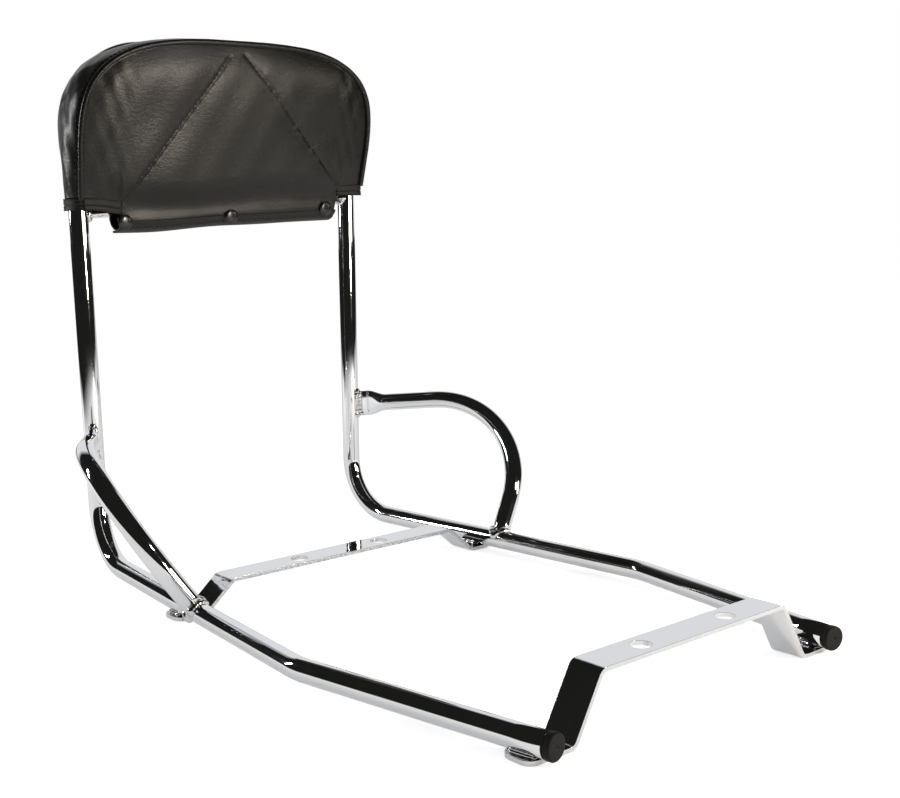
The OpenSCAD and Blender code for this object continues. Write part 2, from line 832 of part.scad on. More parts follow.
module front_piping() {
    color("black")
        skin([for (k = [0 : outline_steps])
            let (
                o = outward(panel_edge, k),
                out = [o.x, 0, o.y],
                p = panel_edge[k],
                c = [p.x, seam_y(p.y) - seam_gap, p.y] + (piping_r + seam_gap) * out
            )
            [for (j = [0 : piping_sides - 1])
                let (a = -(j + 0.5) * 360 / piping_sides)
                c + piping_r * (out * cos(a) + [0, sin(a), 0])]], false);
}

// Binding round the lower end of the right sleeve, open towards the flap
module right_binding() {
    fold_t = vinyl_t + tape_t;
    inner_x = flap_half_w + gap;
    k = outline_steps;
    function edge(grow) = [for (j = [0 : section_steps])
        let (p = boxing_point(k, j / section_steps * 180, -grow)) [p.x, p.y]];
    outer = edge(tape_t);
    inner = edge(-vinyl_t);
    front_y = seam_y(boxing_low_z) - gap;
    back_y = rear_y + back_depth + gap;
    points = concat(
        [[inner_x, front_y], [inner_x, front_y - fold_t], [outer[0].x, front_y - fold_t]],
        [for (j = [1 : section_steps - 1]) outer[j]],
        [[outer[section_steps].x, back_y + tape_t], [inner_x, back_y + tape_t]],
        [[inner_x, back_y], [inner[section_steps].x, back_y]],
        [for (j = [section_steps - 1 : -1 : 1]) inner[j]],
        [[inner[0].x, front_y]]
    );
    color("dimgray")
        translate([0, 0, sleeve_z])
            linear_extrude(height = binding_h - 2 * gap) polygon(points);
}

module sleeve_binding_right() {
    right_binding();
}

module sleeve_binding_left() {
    mirror([1, 0, 0]) right_binding();
}

main_tube();
crossbar();
handle_left();
handle_right();
front_strap();
rear_strap();
end_plug_left();
end_plug_right();
handle_top_welds();
handle_foot_welds();
crossbar_welds();
front_strap_welds();
rear_strap_welds();
foam_pad();
foam_infill();
cover_front_panel();
cover_boxing();
cover_back_panel();
front_piping();
sleeve_binding_left();
sleeve_binding_right();
flap_binding();
press_stud_caps();
press_stud_backs();
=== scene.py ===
"""Looks of the padded backrest on its chromed tube frame, built round the packed CAD frame."""

import bmesh
import bpy
import numpy as np
from bpy.props import FloatProperty, FloatVectorProperty, PointerProperty
from mathutils import Matrix, Vector


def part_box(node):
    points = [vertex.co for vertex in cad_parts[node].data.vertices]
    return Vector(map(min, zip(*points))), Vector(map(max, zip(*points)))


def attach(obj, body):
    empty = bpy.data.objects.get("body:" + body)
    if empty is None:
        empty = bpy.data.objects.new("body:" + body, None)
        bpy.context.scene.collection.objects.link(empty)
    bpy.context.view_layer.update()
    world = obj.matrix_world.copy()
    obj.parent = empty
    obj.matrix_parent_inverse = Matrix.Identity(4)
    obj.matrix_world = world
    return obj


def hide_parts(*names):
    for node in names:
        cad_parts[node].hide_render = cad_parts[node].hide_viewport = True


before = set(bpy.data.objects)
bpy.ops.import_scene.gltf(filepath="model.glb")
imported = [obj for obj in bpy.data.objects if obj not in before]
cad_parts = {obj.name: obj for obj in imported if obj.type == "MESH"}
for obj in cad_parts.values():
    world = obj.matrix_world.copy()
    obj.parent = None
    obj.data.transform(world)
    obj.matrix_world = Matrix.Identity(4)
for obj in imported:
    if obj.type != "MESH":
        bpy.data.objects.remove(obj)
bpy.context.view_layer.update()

bl_info = {
    "name": "Padded backrest",
    "version": (1, 0, 0),
    "blender": (4, 5, 0),
    "location": "View3D > Sidebar > Backrest",
    "description": "Builds the visible surfaces of a padded backrest on a chromed tube frame",
    "category": "Object",
}

CROSSBAR = [np.array(corner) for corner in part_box("crossbar")]
REAR_Y = float((CROSSBAR[0][1] + CROSSBAR[1][1]) / 2)
MM = 0.001


# Sizes and colours that a user may change


class FrameSizes(bpy.types.PropertyGroup):
    """Sizes of the bent tube frame, in metres"""

    tube_d: FloatProperty(
        name="Tube diameter", description="Outer diameter of the tube",
        default=0.016, unit="LENGTH")
    tube_wall: FloatProperty(
        name="Tube wall", description="Wall of the tube", default=0.0015, unit="LENGTH")
    bead_r: FloatProperty(
        name="Weld bead", description="Radius of a weld bead", default=0.0019, unit="LENGTH")


class CoverSizes(bpy.types.PropertyGroup):
    """Sizes of the padded cover's finish, in metres"""

    crease: FloatProperty(
        name="Stitch crease", description="Depth of the crease along a seam",
        default=0.0011, unit="LENGTH")
    stitch: FloatProperty(
        name="Stitch length", description="Length of one stitch", default=0.0031, unit="LENGTH")
    stitch_gap: FloatProperty(
        name="Stitch gap", description="Gap between two stitches", default=0.0013, unit="LENGTH")
    thread_r: FloatProperty(
        name="Thread radius", description="Radius of the sewing thread",
        default=0.00052, unit="LENGTH")
    piping_r: FloatProperty(
        name="Piping radius", description="Radius of the welt piping",
        default=0.0024, unit="LENGTH")
    sag: FloatProperty(
        name="Hem sag", description="How unevenly the cover's lower edge hangs",
        default=0.0022, unit="LENGTH")


class FinishColours(bpy.types.PropertyGroup):
    """Colours of the finishes"""

    chrome: FloatVectorProperty(
        name="Chrome", description="Colour of the plated metal", subtype="COLOR", size=3,
        default=(0.86, 0.87, 0.89))
    vinyl: FloatVectorProperty(
        name="Vinyl", description="Colour of the cover", subtype="COLOR", size=3,
        default=(0.0046, 0.0043, 0.0032))
    rubber: FloatVectorProperty(
        name="Rubber", description="Colour of the end plugs", subtype="COLOR", size=3,
        default=(0.0045, 0.0045, 0.0042))
    floor: FloatVectorProperty(
        name="Floor", description="Colour of the floor", subtype="COLOR", size=3,
        default=(0.9, 0.9, 0.9))


# Points and directions


def unit(v):
    """Each vector divided by its length."""
    v = np.asarray(v, float)
    return v / np.maximum(np.linalg.norm(v, axis=-1, keepdims=True), 1e-12)


def smooth(s):
    """Cubic step: 3 s squared less 2 s cubed, with s held between 0 and 1."""
    s = np.clip(s, 0, 1)
    return s * s * (3 - 2 * s)


def hill(t, middle, width):
    """Gaussian step: e to the power of less ((t - middle) / width) squared."""
    return np.exp(-(((t - middle) / width) ** 2))


def spin(v, axis, angle):
    """v turned about a unit axis: v cos a + (axis x v) sin a + axis (axis . v)(1 - cos a)."""
    c, s = np.cos(angle), np.sin(angle)
    return v * c + np.cross(axis, v) * s + axis * (axis @ v) * (1 - c)


def bent_line(corners, radii, side, step=np.radians(2.5), pitch=0.02):
    """Frames (point, side, direction) along straight lines joined by circular arcs.

    An arc's point is centre + r (radial cos a + direction sin a). The side turns with the arc, so the
    line has no twist.
    """
    corners = [np.asarray(c, float) for c in corners]
    rows = [(corners[0], np.asarray(side, float), unit(corners[1] - corners[0]))]
    for i in range(1, len(corners)):
        here, (last, side, d) = corners[i], rows[-1]
        arc = []
        end = here
        if i < len(corners) - 1:
            d2 = unit(corners[i + 1] - here)
            axis = unit(np.cross(d, d2))
            turn = np.arccos(np.clip(d @ d2, -1, 1))
            end = here - d * radii[i] * np.tan(turn / 2)
            radial = np.cross(d, axis)
            centre = end - radial * radii[i]
            count = int(np.ceil(turn / step))
            for a in np.linspace(0, turn, count + 1)[1:]:
                middle = centre + radii[i] * spin(radial, axis, a)
                arc.append((middle, spin(side, axis, a), spin(d, axis, a)))
        count = max(int(np.linalg.norm(end - last) / pitch), 1)
        rows += [(last + (end - last) * k / count, side, d) for k in range(1, count + 1)]
        rows += arc
    return [np.array(column) for column in zip(*rows)]


def lengths_along(points):
    """Length along a line of points, at each of them."""
    return np.concatenate([[0], np.cumsum(np.linalg.norm(np.diff(points, axis=0), axis=1))])


def between(t, s, values):
    """Points at lengths t, straight between the values at lengths s."""
    return np.stack([np.interp(t, s, values[:, k]) for k in range(3)], -1)


def rings(line, radius, sides=64):
    """Circles round a line: point + r (side cos a + (direction x side) sin a)."""
    points, side, along = line
    radius = np.broadcast_to(radius, (len(points),))[:, None, None]
    return points[:, None] + radius * circle(side, np.cross(along, side), sides)


# Meshes


def circle(x, y, sides):
    """Points of a unit circle in the plane of two directions: x cos a + y sin a."""
    a = np.linspace(0, 2 * np.pi, sides, endpoint=False)[:, None]
    return np.asarray(x)[..., None, :] * np.cos(a) + np.asarray(y)[..., None, :] * np.sin(a)


def end_faces(cols, base, middle, reverse):
    """Triangles from a ring of points to its middle."""
    j = np.arange(cols)
    rim = [base + (j + 1) % cols, base + j]
    return np.stack([np.full(cols, middle), *(rim if reverse else rim[::-1])], -1).tolist()


def make_mesh(name, points, faces, material, closed=True, flat=False):
    """One object with its place in its mesh, smooth shaded, its faces turned outwards."""
    mesh = bpy.data.meshes.new(name)
    mesh.from_pydata(np.asarray(points, float).reshape(-1, 3).tolist(), [], faces)
    if closed:
        work = bmesh.new()
        work.from_mesh(mesh)
        bmesh.ops.remove_doubles(work, verts=work.verts, dist=1e-7)
        bmesh.ops.dissolve_degenerate(work, edges=work.edges, dist=1e-7)
        bmesh.ops.recalc_face_normals(work, faces=work.faces)
        work.to_mesh(mesh)
        work.free()
    mesh.polygons.foreach_set("use_smooth", [not flat] * len(mesh.polygons))
    mesh.materials.append(material)
    piece = bpy.data.objects.new(name, mesh)
    bpy.context.scene.collection.objects.link(piece)
    return piece


def grid_faces(rows, cols, start=0, around=False):
    """Quads of a grid of points, row by row, closed round each row if asked."""
    i = np.arange(rows - 1)[:, None] * cols
    j = np.arange(cols if around else cols - 1)[None, :]
    k = (j + 1) % cols
    quads = np.stack([i + j, i + k, i + cols + k, i + cols + j], -1).reshape(-1, 4)
    return (quads + start).tolist()


def tube_mesh(name, skins, material):
    """Closed skin through rings of points, with both ends drawn to their middles."""
    rows, cols = skins.shape[:2]
    points = np.vstack([skins.reshape(-1, 3), skins[0].mean(0), skins[-1].mean(0)])
    faces = grid_faces(rows, cols, around=True) + end_faces(cols, 0, rows * cols, True)
    faces += end_faces(cols, (rows - 1) * cols, rows * cols + 1, False)
    return make_mesh(name, points, faces, material)


def shell_mesh(name, front, back, material, around=False):
    """Closed solid between two grids of points, joined along their rims."""
    rows, cols = front.shape[:2]
    size = rows * cols
    points = np.vstack([front.reshape(-1, 3), back.reshape(-1, 3)])
    faces = grid_faces(rows, cols, around=around)
    faces += [f[::-1] for f in grid_faces(rows, cols, size, around)]
    if around:
        edges = [np.arange(cols), size - cols + np.arange(cols)[::-1]]
        loops = [np.append(e, e[0]) for e in edges]
    else:
        rim = np.concatenate([
            np.arange(cols),
            np.arange(1, rows) * cols + cols - 1,
            size - cols + np.arange(cols - 1)[::-1],
            np.arange(1, rows - 1)[::-1] * cols,
        ])
        loops = [np.append(rim, rim[0])]
    for loop in loops:
        a, b = loop[:-1], loop[1:]
        faces += np.stack([b, a, a + size, b + size], -1).tolist()
    return make_mesh(name, points, faces, material)


def lathe_mesh(name, profile, origin, axis, material, sides=72):
    """Surface turned from a profile of (radius, height): origin + axis h + r (x cos a + y sin a)."""
    axis = unit(axis)
    x = unit(np.cross(axis, [0.3, 0.2, 1.0]))
    radial = circle(x, np.cross(axis, x), sides)
    r, h = np.asarray(profile, float).T
    skins = np.asarray(origin) + axis * h[:, None, None] + radial[None] * r[:, None, None]
    return tube_mesh(name, skins, material)


def arc_profile(centre, radius, start, end, count=8):
    """Points of an arc in a profile, by its angles in degrees."""
    a = np.radians(np.linspace(start, end, count))
    return np.stack([centre[0] + radius * np.cos(a), centre[1] + radius * np.sin(a)], -1)


def waves(points, scales, seed):
    """Sum of plane sine waves in seeded directions, one for each (length, height)."""
    draw = np.random.default_rng(seed)
    total = np.zeros(points.shape[:-1])
    for length, height in scales:
        direction = unit(draw.normal(size=3))
        phase = draw.uniform(0, 2 * np.pi)
        total += height * np.sin(points @ direction * 2 * np.pi / length + phase)
    return total


def thread_mesh(name, starts, ends, normals, radius, material, around=8, along=6):
    """Stitches: flattened ellipsoids from start to end, lying on a surface with the given normals."""
    middle, half = (starts + ends) / 2, (ends - starts) / 2
    side = unit(np.cross(normals, half))
    t = np.linspace(0, np.pi, along + 1)[1:-1, None, None]
    rows = len(t)
    ring = np.array([-1.0, 0, 0]) * np.cos(t) + circle([0, 1, 0], [0, 0, 1], around) * np.sin(t)
    local = np.vstack([ring.reshape(-1, 3), [[-1, 0, 0], [1, 0, 0]]])
    parts = (half, side * radius, normals * radius)
    shifts = sum(part[:, None] * local[:, k, None] for k, part in enumerate(parts))
    points = middle[:, None] + shifts
    one = grid_faces(rows, around, around=True) + end_faces(around, 0, rows * around, True)
    one += end_faces(around, (rows - 1) * around, rows * around + 1, False)
    size = len(local)
    faces = [[v + k * size for v in f] for k in range(len(starts)) for f in one]
    return make_mesh(name, points, faces, material)


def put(piece, slot, *nodes):
    """The piece rides on the frame, takes that finish and stands for those CAD nodes."""
    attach(piece, "root")
    if nodes:
        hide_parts(*nodes)
    return piece


# Materials


def node(tree, kind, links=(), **values):
    """A node with its sockets set by name, and links from (socket, output) pairs."""
    made = tree.nodes.new(kind)
    for key, value in values.items():
        if key in made.bl_rna.properties:
            setattr(made, key, value)
        else:
            made.inputs[key.replace("_", " ")].default_value = value
    for socket, source in links:
        tree.links.new(source, made.inputs[socket])
    return made


def noise(tree, place, scale, detail, **values):
    """Value of a noise at a place."""
    made = node(
        tree, "ShaderNodeTexNoise", [("Vector", place)], Scale=scale, Detail=detail, **values)
    return made.outputs[0]


def cells(tree, place, scale, **values):
    """Distance from a place to the nearest of many scattered points."""
    made = node(tree, "ShaderNodeTexVoronoi", [("Vector", place)], Scale=scale, **values)
    return made.outputs["Distance"]


def ramp(tree, source, low, high, start, end):
    """Maps a value from low..high to start..end."""
    made = node(tree, "ShaderNodeMapRange", [("Value", source)])
    for name, value in (("From Min", low), ("From Max", high), ("To Min", start), ("To Max", end)):
        made.inputs[name].default_value = value
    return made.outputs["Result"]


def mixed(tree, factor, first, second):
    """A colour between two, by a factor."""
    made = node(tree, "ShaderNodeMix", data_type="RGBA")
    tree.links.new(factor, made.inputs["Factor"])
    made.inputs["A"].default_value = (*first, 1)
    made.inputs["B"].default_value = (*second, 1)
    return made.outputs["Result"]


def maths(tree, operation, *values):
    """Result of a maths node over outputs and numbers."""
    made = node(tree, "ShaderNodeMath", operation=operation)
    for socket, value in zip(made.inputs, values):
        if isinstance(value, float):
            socket.default_value = value
        else:
            tree.links.new(value, socket)
    return made.outputs[0]


def added(tree, first, second, factor):
    """first + second times factor."""
    return maths(tree, "MULTIPLY_ADD", second, factor, first)


def part_of(tree, vector, letter):
    """One of a vector's three parts."""
    return node(tree, "ShaderNodeSeparateXYZ", [("Vector", vector)]).outputs[letter]


def dot(tree, place, direction):
    """How far a place lies along a direction."""
    made = node(tree, "ShaderNodeVectorMath", [(0, place)], operation="DOT_PRODUCT")
    made.inputs[1].default_value = direction
    return made.outputs["Value"]


def scaled(colour, factor):
    """A colour times a factor."""
    return [c * factor for c in colour]


def shade(tree, shader, colour, rough, bump=None, **values):
    """Sets a shader's colour, roughness, bump of (height, strength, distance) and plain values."""
    tree.links.new(colour, shader.inputs["Base Color"])
    if rough:
        tree.links.new(rough, shader.inputs["Roughness"])
    if bump:
        height, strength, distance = bump
        made = node(
            tree, "ShaderNodeBump", [("Height", height)], Strength=strength, Distance=distance)
        tree.links.new(made.outputs[0], shader.inputs["Normal"])
    for key, value in values.items():
        shader.inputs[key.replace("_", " ")].default_value = value


def chrome(tree, shader, place, colours):
    """Bright plating: a mirror with faint waviness, fine specks and slightly duller patches."""
    patches = noise(tree, place, 60.0, 3.0)
    dots = ramp(tree, cells(tree, place, 420.0), 0.03, 0.09, 1.0, 0.0)
    rough = added(tree, ramp(tree, patches, 0.35, 0.75, 0.03, 0.075), dots, 0.1)
    colour = mixed(tree, patches, scaled(colours.chrome, 0.97), colours.chrome)
    height = added(tree, noise(tree, place, 22.0, 1.0), dots, -0.08)
    shade(tree, shader, colour, rough, (height, 0.12, 0.0006), Metallic=1.0)


def plated_bar(tree, shader, place, colours):
    """Plating over flat bar: bright faces, and sawn edges with a rough chain of pits."""
    facing = part_of(tree, node(tree, "ShaderNodeTexCoord").outputs["Normal"], "Y")
    edge = ramp(tree, maths(tree, "ABSOLUTE", facing), 0.55, 0.9, 0, 1)
    pits = ramp(tree, noise(tree, place, 430.0, 4.0), 0.42, 0.62, 0, 1)
    rearward = ramp(tree, part_of(tree, place, "Y"), -0.05, 0.05, 0.1, 0.7)
    worn = maths(tree, "MULTIPLY", pits, rearward)
    pitted = maths(tree, "MULTIPLY", edge, worn)
    film = noise(tree, place, 30.0, 4.0)
    specks = ramp(tree, cells(tree, place, 140.0), 0.03, 0.07, 1, 0)
    rough = added(tree, ramp(tree, film, 0.3, 0.7, 0.025, 0.06), pitted, 0.2)
    colour = mixed(tree, pitted, scaled(colours.chrome, 0.97), scaled(colours.chrome, 0.45))
    height = added(tree, added(tree, film, specks, 0.05), pitted, -0.12)
    shade(tree, shader, colour, rough, (height, 0.5, 0.0005), Metallic=1.0)


def weld_metal(tree, shader, place, colours):
    """Plated weld metal: a bright ripple with dull brown heat tint in its hollows."""
    tint = noise(tree, place, 260.0, 4.0)
    colour = mixed(tree, ramp(tree, tint, 0.56, 0.72, 0, 1), (0.8, 0.8, 0.81), (0.42, 0.28, 0.15))
    rough = ramp(tree, tint, 0.4, 0.7, 0.08, 0.3)
    shade(tree, shader, colour, rough, (tint, 0.5, 0.0003), Metallic=1.0)


def grained_vinyl(tree, shader, place, colours, grain, rough, sheen):
    """Grained black vinyl: small irregular cells, short wrinkles, and a dusty sheen."""
    drifting = node(tree, "ShaderNodeTexNoise", [("Vector", place)], Scale=900.0, Detail=2.0)
    drift = drifting.outputs["Color"]
    bent = node(tree, "ShaderNodeVectorMath", [(0, drift), (2, place)], operation="MULTIPLY_ADD")
    bent.inputs[1].default_value = (0.0006, 0.0006, 0.0006)
    pebbles = cells(tree, bent.outputs[0], 1000.0 * grain, feature="SMOOTH_F1")
    stretch = node(tree, "ShaderNodeMapping", [("Vector", place)])
    stretch.inputs["Scale"].default_value = (1.0, 1.0, 2.4)
    creases = noise(tree, stretch.outputs[0], 190.0, 5.0, Roughness=0.62)
    patches = noise(tree, place, 16.0, 4.0)
    dull = added(tree, ramp(tree, patches, 0.3, 0.7, rough - 0.05, rough + 0.05), creases, 0.12)
    colour = mixed(tree, patches, scaled(colours.vinyl, 0.75), scaled(colours.vinyl, 1.5))
    shade(tree, shader, colour, dull, (added(tree, pebbles, creases, 3.0), 0.8, 0.00008),
          Specular_IOR_Level=0.38, Sheen_Weight=sheen, Sheen_Roughness=0.4)


def moulded_rubber(tree, shader, place, colours):
    """Matt moulded rubber with a fine speckle and dust in its hollows."""
    dust = noise(tree, place, 90.0, 5.0)
    colour = mixed(tree, ramp(tree, dust, 0.5, 0.8, 0, 1), colours.rubber, scaled(colours.rubber, 2.6))
    speckle = noise(tree, place, 1400.0, 3.0)
    shade(tree, shader, colour, ramp(tree, dust, 0.3, 0.7, 0.5, 0.68), (speckle, 0.18, 0.0003),
          Specular_IOR_Level=0.22)


def sewing_thread(tree, shader, place, colours):
    """Twisted black thread with a soft sheen."""
    twist = node(tree, "ShaderNodeTexWave", [("Vector", place)], Scale=900.0, Distortion=1.0).outputs[1]
    colour = mixed(tree, twist, (0.0015, 0.0015, 0.0015), (0.007, 0.006, 0.005))
    shade(tree, shader, colour, None, (twist, 0.4, 0.0002), Roughness=0.6)


def black_lacquer(tree, shader, place, colours):
    """Glossy black lacquer over a pressed metal cap."""
    film = noise(tree, place, 300.0, 3.0)
    colour = mixed(tree, film, (0.006, 0.006, 0.006), (0.014, 0.013, 0.012))
    shade(tree, shader, colour, ramp(tree, film, 0.3, 0.7, 0.16, 0.3))


COATS = {
    "bright_chrome": (chrome,),
    "plated_bar": (plated_bar,),
    "weld_bead": (weld_metal,),
    "grained_vinyl": (grained_vinyl, 1.0, 0.27, 0.015),
    "boxing_vinyl": (grained_vinyl, 1.1, 0.27, 0.015),
    "piping_vinyl": (grained_vinyl, 1.2, 0.24, 0.02),
    "binding_vinyl": (grained_vinyl, 1.5, 0.5, 0.01),
    "moulded_rubber": (moulded_rubber,),
    "sewing_thread": (sewing_thread,),
    "black_lacquer": (black_lacquer,),
}


def coat(name):
    """The material of that name, painted the first time it is asked for."""
    material = bpy.data.materials.get(name)
    if material is None:
        material = bpy.data.materials.new(name)
        material.use_nodes = True
        tree = material.node_tree
        place = node(tree, "ShaderNodeTexCoord").outputs["Object"]
        paint, *values = COATS[name]
        paint(tree, tree.nodes["Principled BSDF"], place, bpy.context.scene.backrest_colours, *values)
    return material


# The bent frame's centre lines, in metres, as in the CAD source


KINK_REACH = 346
HALF_LINE = np.array([[133, -541, 11], [165, -KINK_REACH, 11], [133, 0, 11], [137, 0, 436]], float) * MM
HALF_LINE = HALF_LINE + [0, REAR_Y, 0]
RAIL, UPRIGHT = HALF_LINE[1] - HALF_LINE[2], HALF_LINE[3] - HALF_LINE[2]
BENDS = np.array([0, 60, 50, 66]) * MM
FRONT_GROWTH = 1.2 * MM
MIRROR = np.array([-1.0, 1.0, 1.0])
HANDLE_TOP, HANDLE_REACH, HANDLE_BEND = 113.5 * MM, 193 * MM, 88 * MM
HANDLE_ANGLES = np.radians([41.5, 40, 60])
BLADE_T, BLADE_H, BLADE_LEN, BLADE_TAPER = np.array([4.5, 24, 20, 18]) * MM
SUNK = 0.0003
ROD_R, ROD_Z, ROD_INSET = 4 * MM, 302 * MM, 7.5 * MM


def tube_r():
    """Outer radius of the bent tube."""
    return bpy.context.scene.backrest_frame.tube_d / 2


def upright_at(z):
    """Point of the right upright's centre line at a height."""
    return HALF_LINE[2] + UPRIGHT * (z - HALF_LINE[2][2]) / UPRIGHT[2]


def rail_at(reach):
    """Point of the right rail's centre line at a distance in front of the uprights."""
    return HALF_LINE[2] + RAIL * reach / (KINK_REACH * MM)


def to_cylinder(points, along, origin, axis, radius):
    """Moves points along a direction until they are that far from an axis.

    With o and d as the point and the direction less their parts along the axis, the distance t
    solves |o + t d| = radius, and the larger root is taken.
    """
    axis = unit(axis)
    o = points - origin
    o = o - (o @ axis)[..., None] * axis
    d = along - (along @ axis) * axis
    b, c = o @ d, (o * o).sum(-1) - radius**2
    t = (-b + np.sqrt(np.maximum(b * b - (d @ d) * c, 0))) / (d @ d)
    return points + t[..., None] * along


def make_main_tube():
    """One tube from end to end: circles round the bent line, and back inside it as the bore."""
    r, wall = tube_r(), bpy.context.scene.backrest_frame.tube_wall
    half = HALF_LINE.copy()
    half[0] += unit(HALF_LINE[0] - HALF_LINE[1]) * FRONT_GROWTH
    line = bent_line(np.vstack([half, half[::-1] * MIRROR]), [*BENDS, *BENDS[::-1]], [0, 0, 1])
    skins = np.concatenate([rings(line, r), rings(line, r - wall)[::-1]])
    rows, cols = skins.shape[:2]
    faces = grid_faces(rows, cols, around=True)
    j = np.arange(cols)
    base = (rows - 1) * cols
    faces += np.stack([base + j, base + (j + 1) % cols, (j + 1) % cols, j], -1).tolist()
    piece = make_mesh("bent_tube", skins, faces, coat("bright_chrome"))
    put(piece, "chrome_plate", "main_tube")


def handle_lines():
    """The right handle's ends, plane and directions, by the CAD source's angles."""
    top, foot = upright_at(HANDLE_TOP), rail_at(HANDLE_REACH)
    chord = unit(foot - top)
    out = unit(np.array([1, 0, 0]) - chord * chord[0])
    up = np.cross(chord, out)
    lean, rise, drop = HANDLE_ANGLES
    side = up * np.cos(lean) + out * np.sin(lean)
    start = chord * np.cos(rise) + side * np.sin(rise)
    corner = top + start * np.linalg.norm(foot - top) * np.sin(drop) / np.sin(rise + drop)
    tall = unit(np.array([0, 0, 1]) - start * start[2])
    return top, foot, corner, start, unit(foot - corner), tall, np.cross(tall, start)


def flattened_ring(centre, flat, tall, width, height, power, sides=64):
    """Rounded oblong: flat w/2 cos a and tall h/2 sin a, each cosine or sine raised to a power."""
    a = np.linspace(0, 2 * np.pi, sides, endpoint=False)
    c = np.sign(np.cos(a)) * np.abs(np.cos(a)) ** power
    s = np.sign(np.sin(a)) * np.abs(np.sin(a)) ** power
    return centre + flat * (width / 2 * c)[:, None] - tall * (height / 2 * s)[:, None]


def make_handles():
    """Each handle: rounded oblongs that grow into circles, then circles round its bend."""
    r = tube_r()
    top, foot, corner, start, end, tall, flat = handle_lines()
    blade = flattened_ring(top, flat, tall, BLADE_T, BLADE_H, 0.5)
    skins = [to_cylinder(blade, start, HALF_LINE[2], UPRIGHT, r - SUNK)]
    for s in np.linspace(0, 1, 19)[:-1]:
        k = smooth(s)
        width, height = BLADE_T + (2 * r - BLADE_T) * k, BLADE_H + (2 * r - BLADE_H) * k
        middle = top + start * (BLADE_LEN + BLADE_TAPER * s)
        skins.append(flattened_ring(middle, flat, tall, width, height, 0.5 + 0.5 * k))
    middle = top + start * (BLADE_LEN + BLADE_TAPER)
    line = bent_line([middle, corner, foot], [0, HANDLE_BEND, 0], flat, pitch=0.01)
    bend = line[0][:, None] + r * circle(line[1], -np.cross(line[2], line[1]), 64)
    last = to_cylinder(bend[-1], -end, HALF_LINE[2], RAIL, r - SUNK)
    keep = [ring for ring in bend[:-1] if ((ring - last) @ end).max() < -0.001]
    skins = np.array(skins + keep + [last])
    for name, mirror in (("right", 1), ("left", MIRROR)):
        piece = tube_mesh(f"grab_handle_{name}", skins * mirror, coat("bright_chrome"))
        put(piece, "chrome_plate", f"handle_{name}")


def bead_mesh(name, lines, radius, seed, sides=14):
    """Weld beads: circles round closed lines, the radius rippled as puddle follows puddle."""
    points, faces, count = [], [], 0
    draw = np.random.default_rng(seed)
    for line in lines:
        n = len(line)
        along = unit(np.roll(line, -1, 0) - np.roll(line, 1, 0))
        middle = line.mean(0)
        side = unit(line - middle - ((line - middle) * along).sum(-1)[:, None] * along)
        up = np.cross(along, side)
        s = np.arange(n) / n
        ripple = 1 + 0.16 * np.abs(np.sin(np.pi * 13 * s + draw.uniform(0, 3)))
        ripple += 0.16 * np.sin(2 * np.pi * (2 * s + draw.uniform()))
        ripple += 0.12 * np.sin(2 * np.pi * (5 * s + draw.uniform()))
        grid = line[:, None] + (radius * ripple)[:, None, None] * circle(side, up, sides)
        grid = np.concatenate([grid, grid[:1]])
        points.append(grid.reshape(-1, 3))
        faces += grid_faces(n + 1, sides, count, around=True)
        count += (n + 1) * sides
    return make_mesh(name, np.vstack(points), faces, coat("weld_bead"))


def make_welds():
    """Beads along the lines where a handle or the rod meets its tube."""
    r, bead = tube_r(), bpy.context.scene.backrest_frame.bead_r
    top, foot, _, start, end, tall, flat = handle_lines()
    x = unit(np.cross(end, [0, 1, 0]))
    foot_ring = foot + r * circle(x, np.cross(end, x), 120)
    foot_line = to_cylinder(foot_ring, -end, HALF_LINE[2], RAIL, r)
    blade = flattened_ring(top, flat, tall, BLADE_T, BLADE_H, 0.5, 120)
    top_line = to_cylinder(blade, start, HALF_LINE[2], UPRIGHT, r)
    bars = []
    for hand in (-1, 1):
        ring = rod_at(hand) + ROD_R * circle([0, 1, 0], [0, 0, 1], 120)
        inward, mirror = np.array([-1.0 * hand, 0, 0]), [hand, 1, 1]
        bars.append(to_cylinder(ring, inward, HALF_LINE[2] * mirror, UPRIGHT * mirror, r))
    for name, lines, radius, seed in (
        ("handle_foot_welds", [foot_line, foot_line * MIRROR], bead * 1.3, 3),
        ("handle_top_welds", [top_line, top_line * MIRROR], bead, 5),
        ("crossbar_welds", bars, bead * 1.25, 7),
    ):
        put(bead_mesh(name.replace("welds", "bead"), lines, radius, seed), "weld_metal", name)


def rod_at(side):
    """End of the rod on an upright's centre line: the right end stands a little higher."""
    return upright_at(ROD_Z + RIGHT_LIFT * (side > 0)) * [side, 1, 1]


def make_rod():
    """The rod between the uprights: circles along a straight line."""
    left, right = rod_at(-1), rod_at(1)
    inset = unit(right - left) * ROD_INSET
    line = bent_line([left + inset, right - inset], [0, 0], [0, 0, 1])
    piece = tube_mesh("cross_rod", rings(line, ROD_R, 40), coat("bright_chrome"))
    put(piece, "chrome_plate", "crossbar")


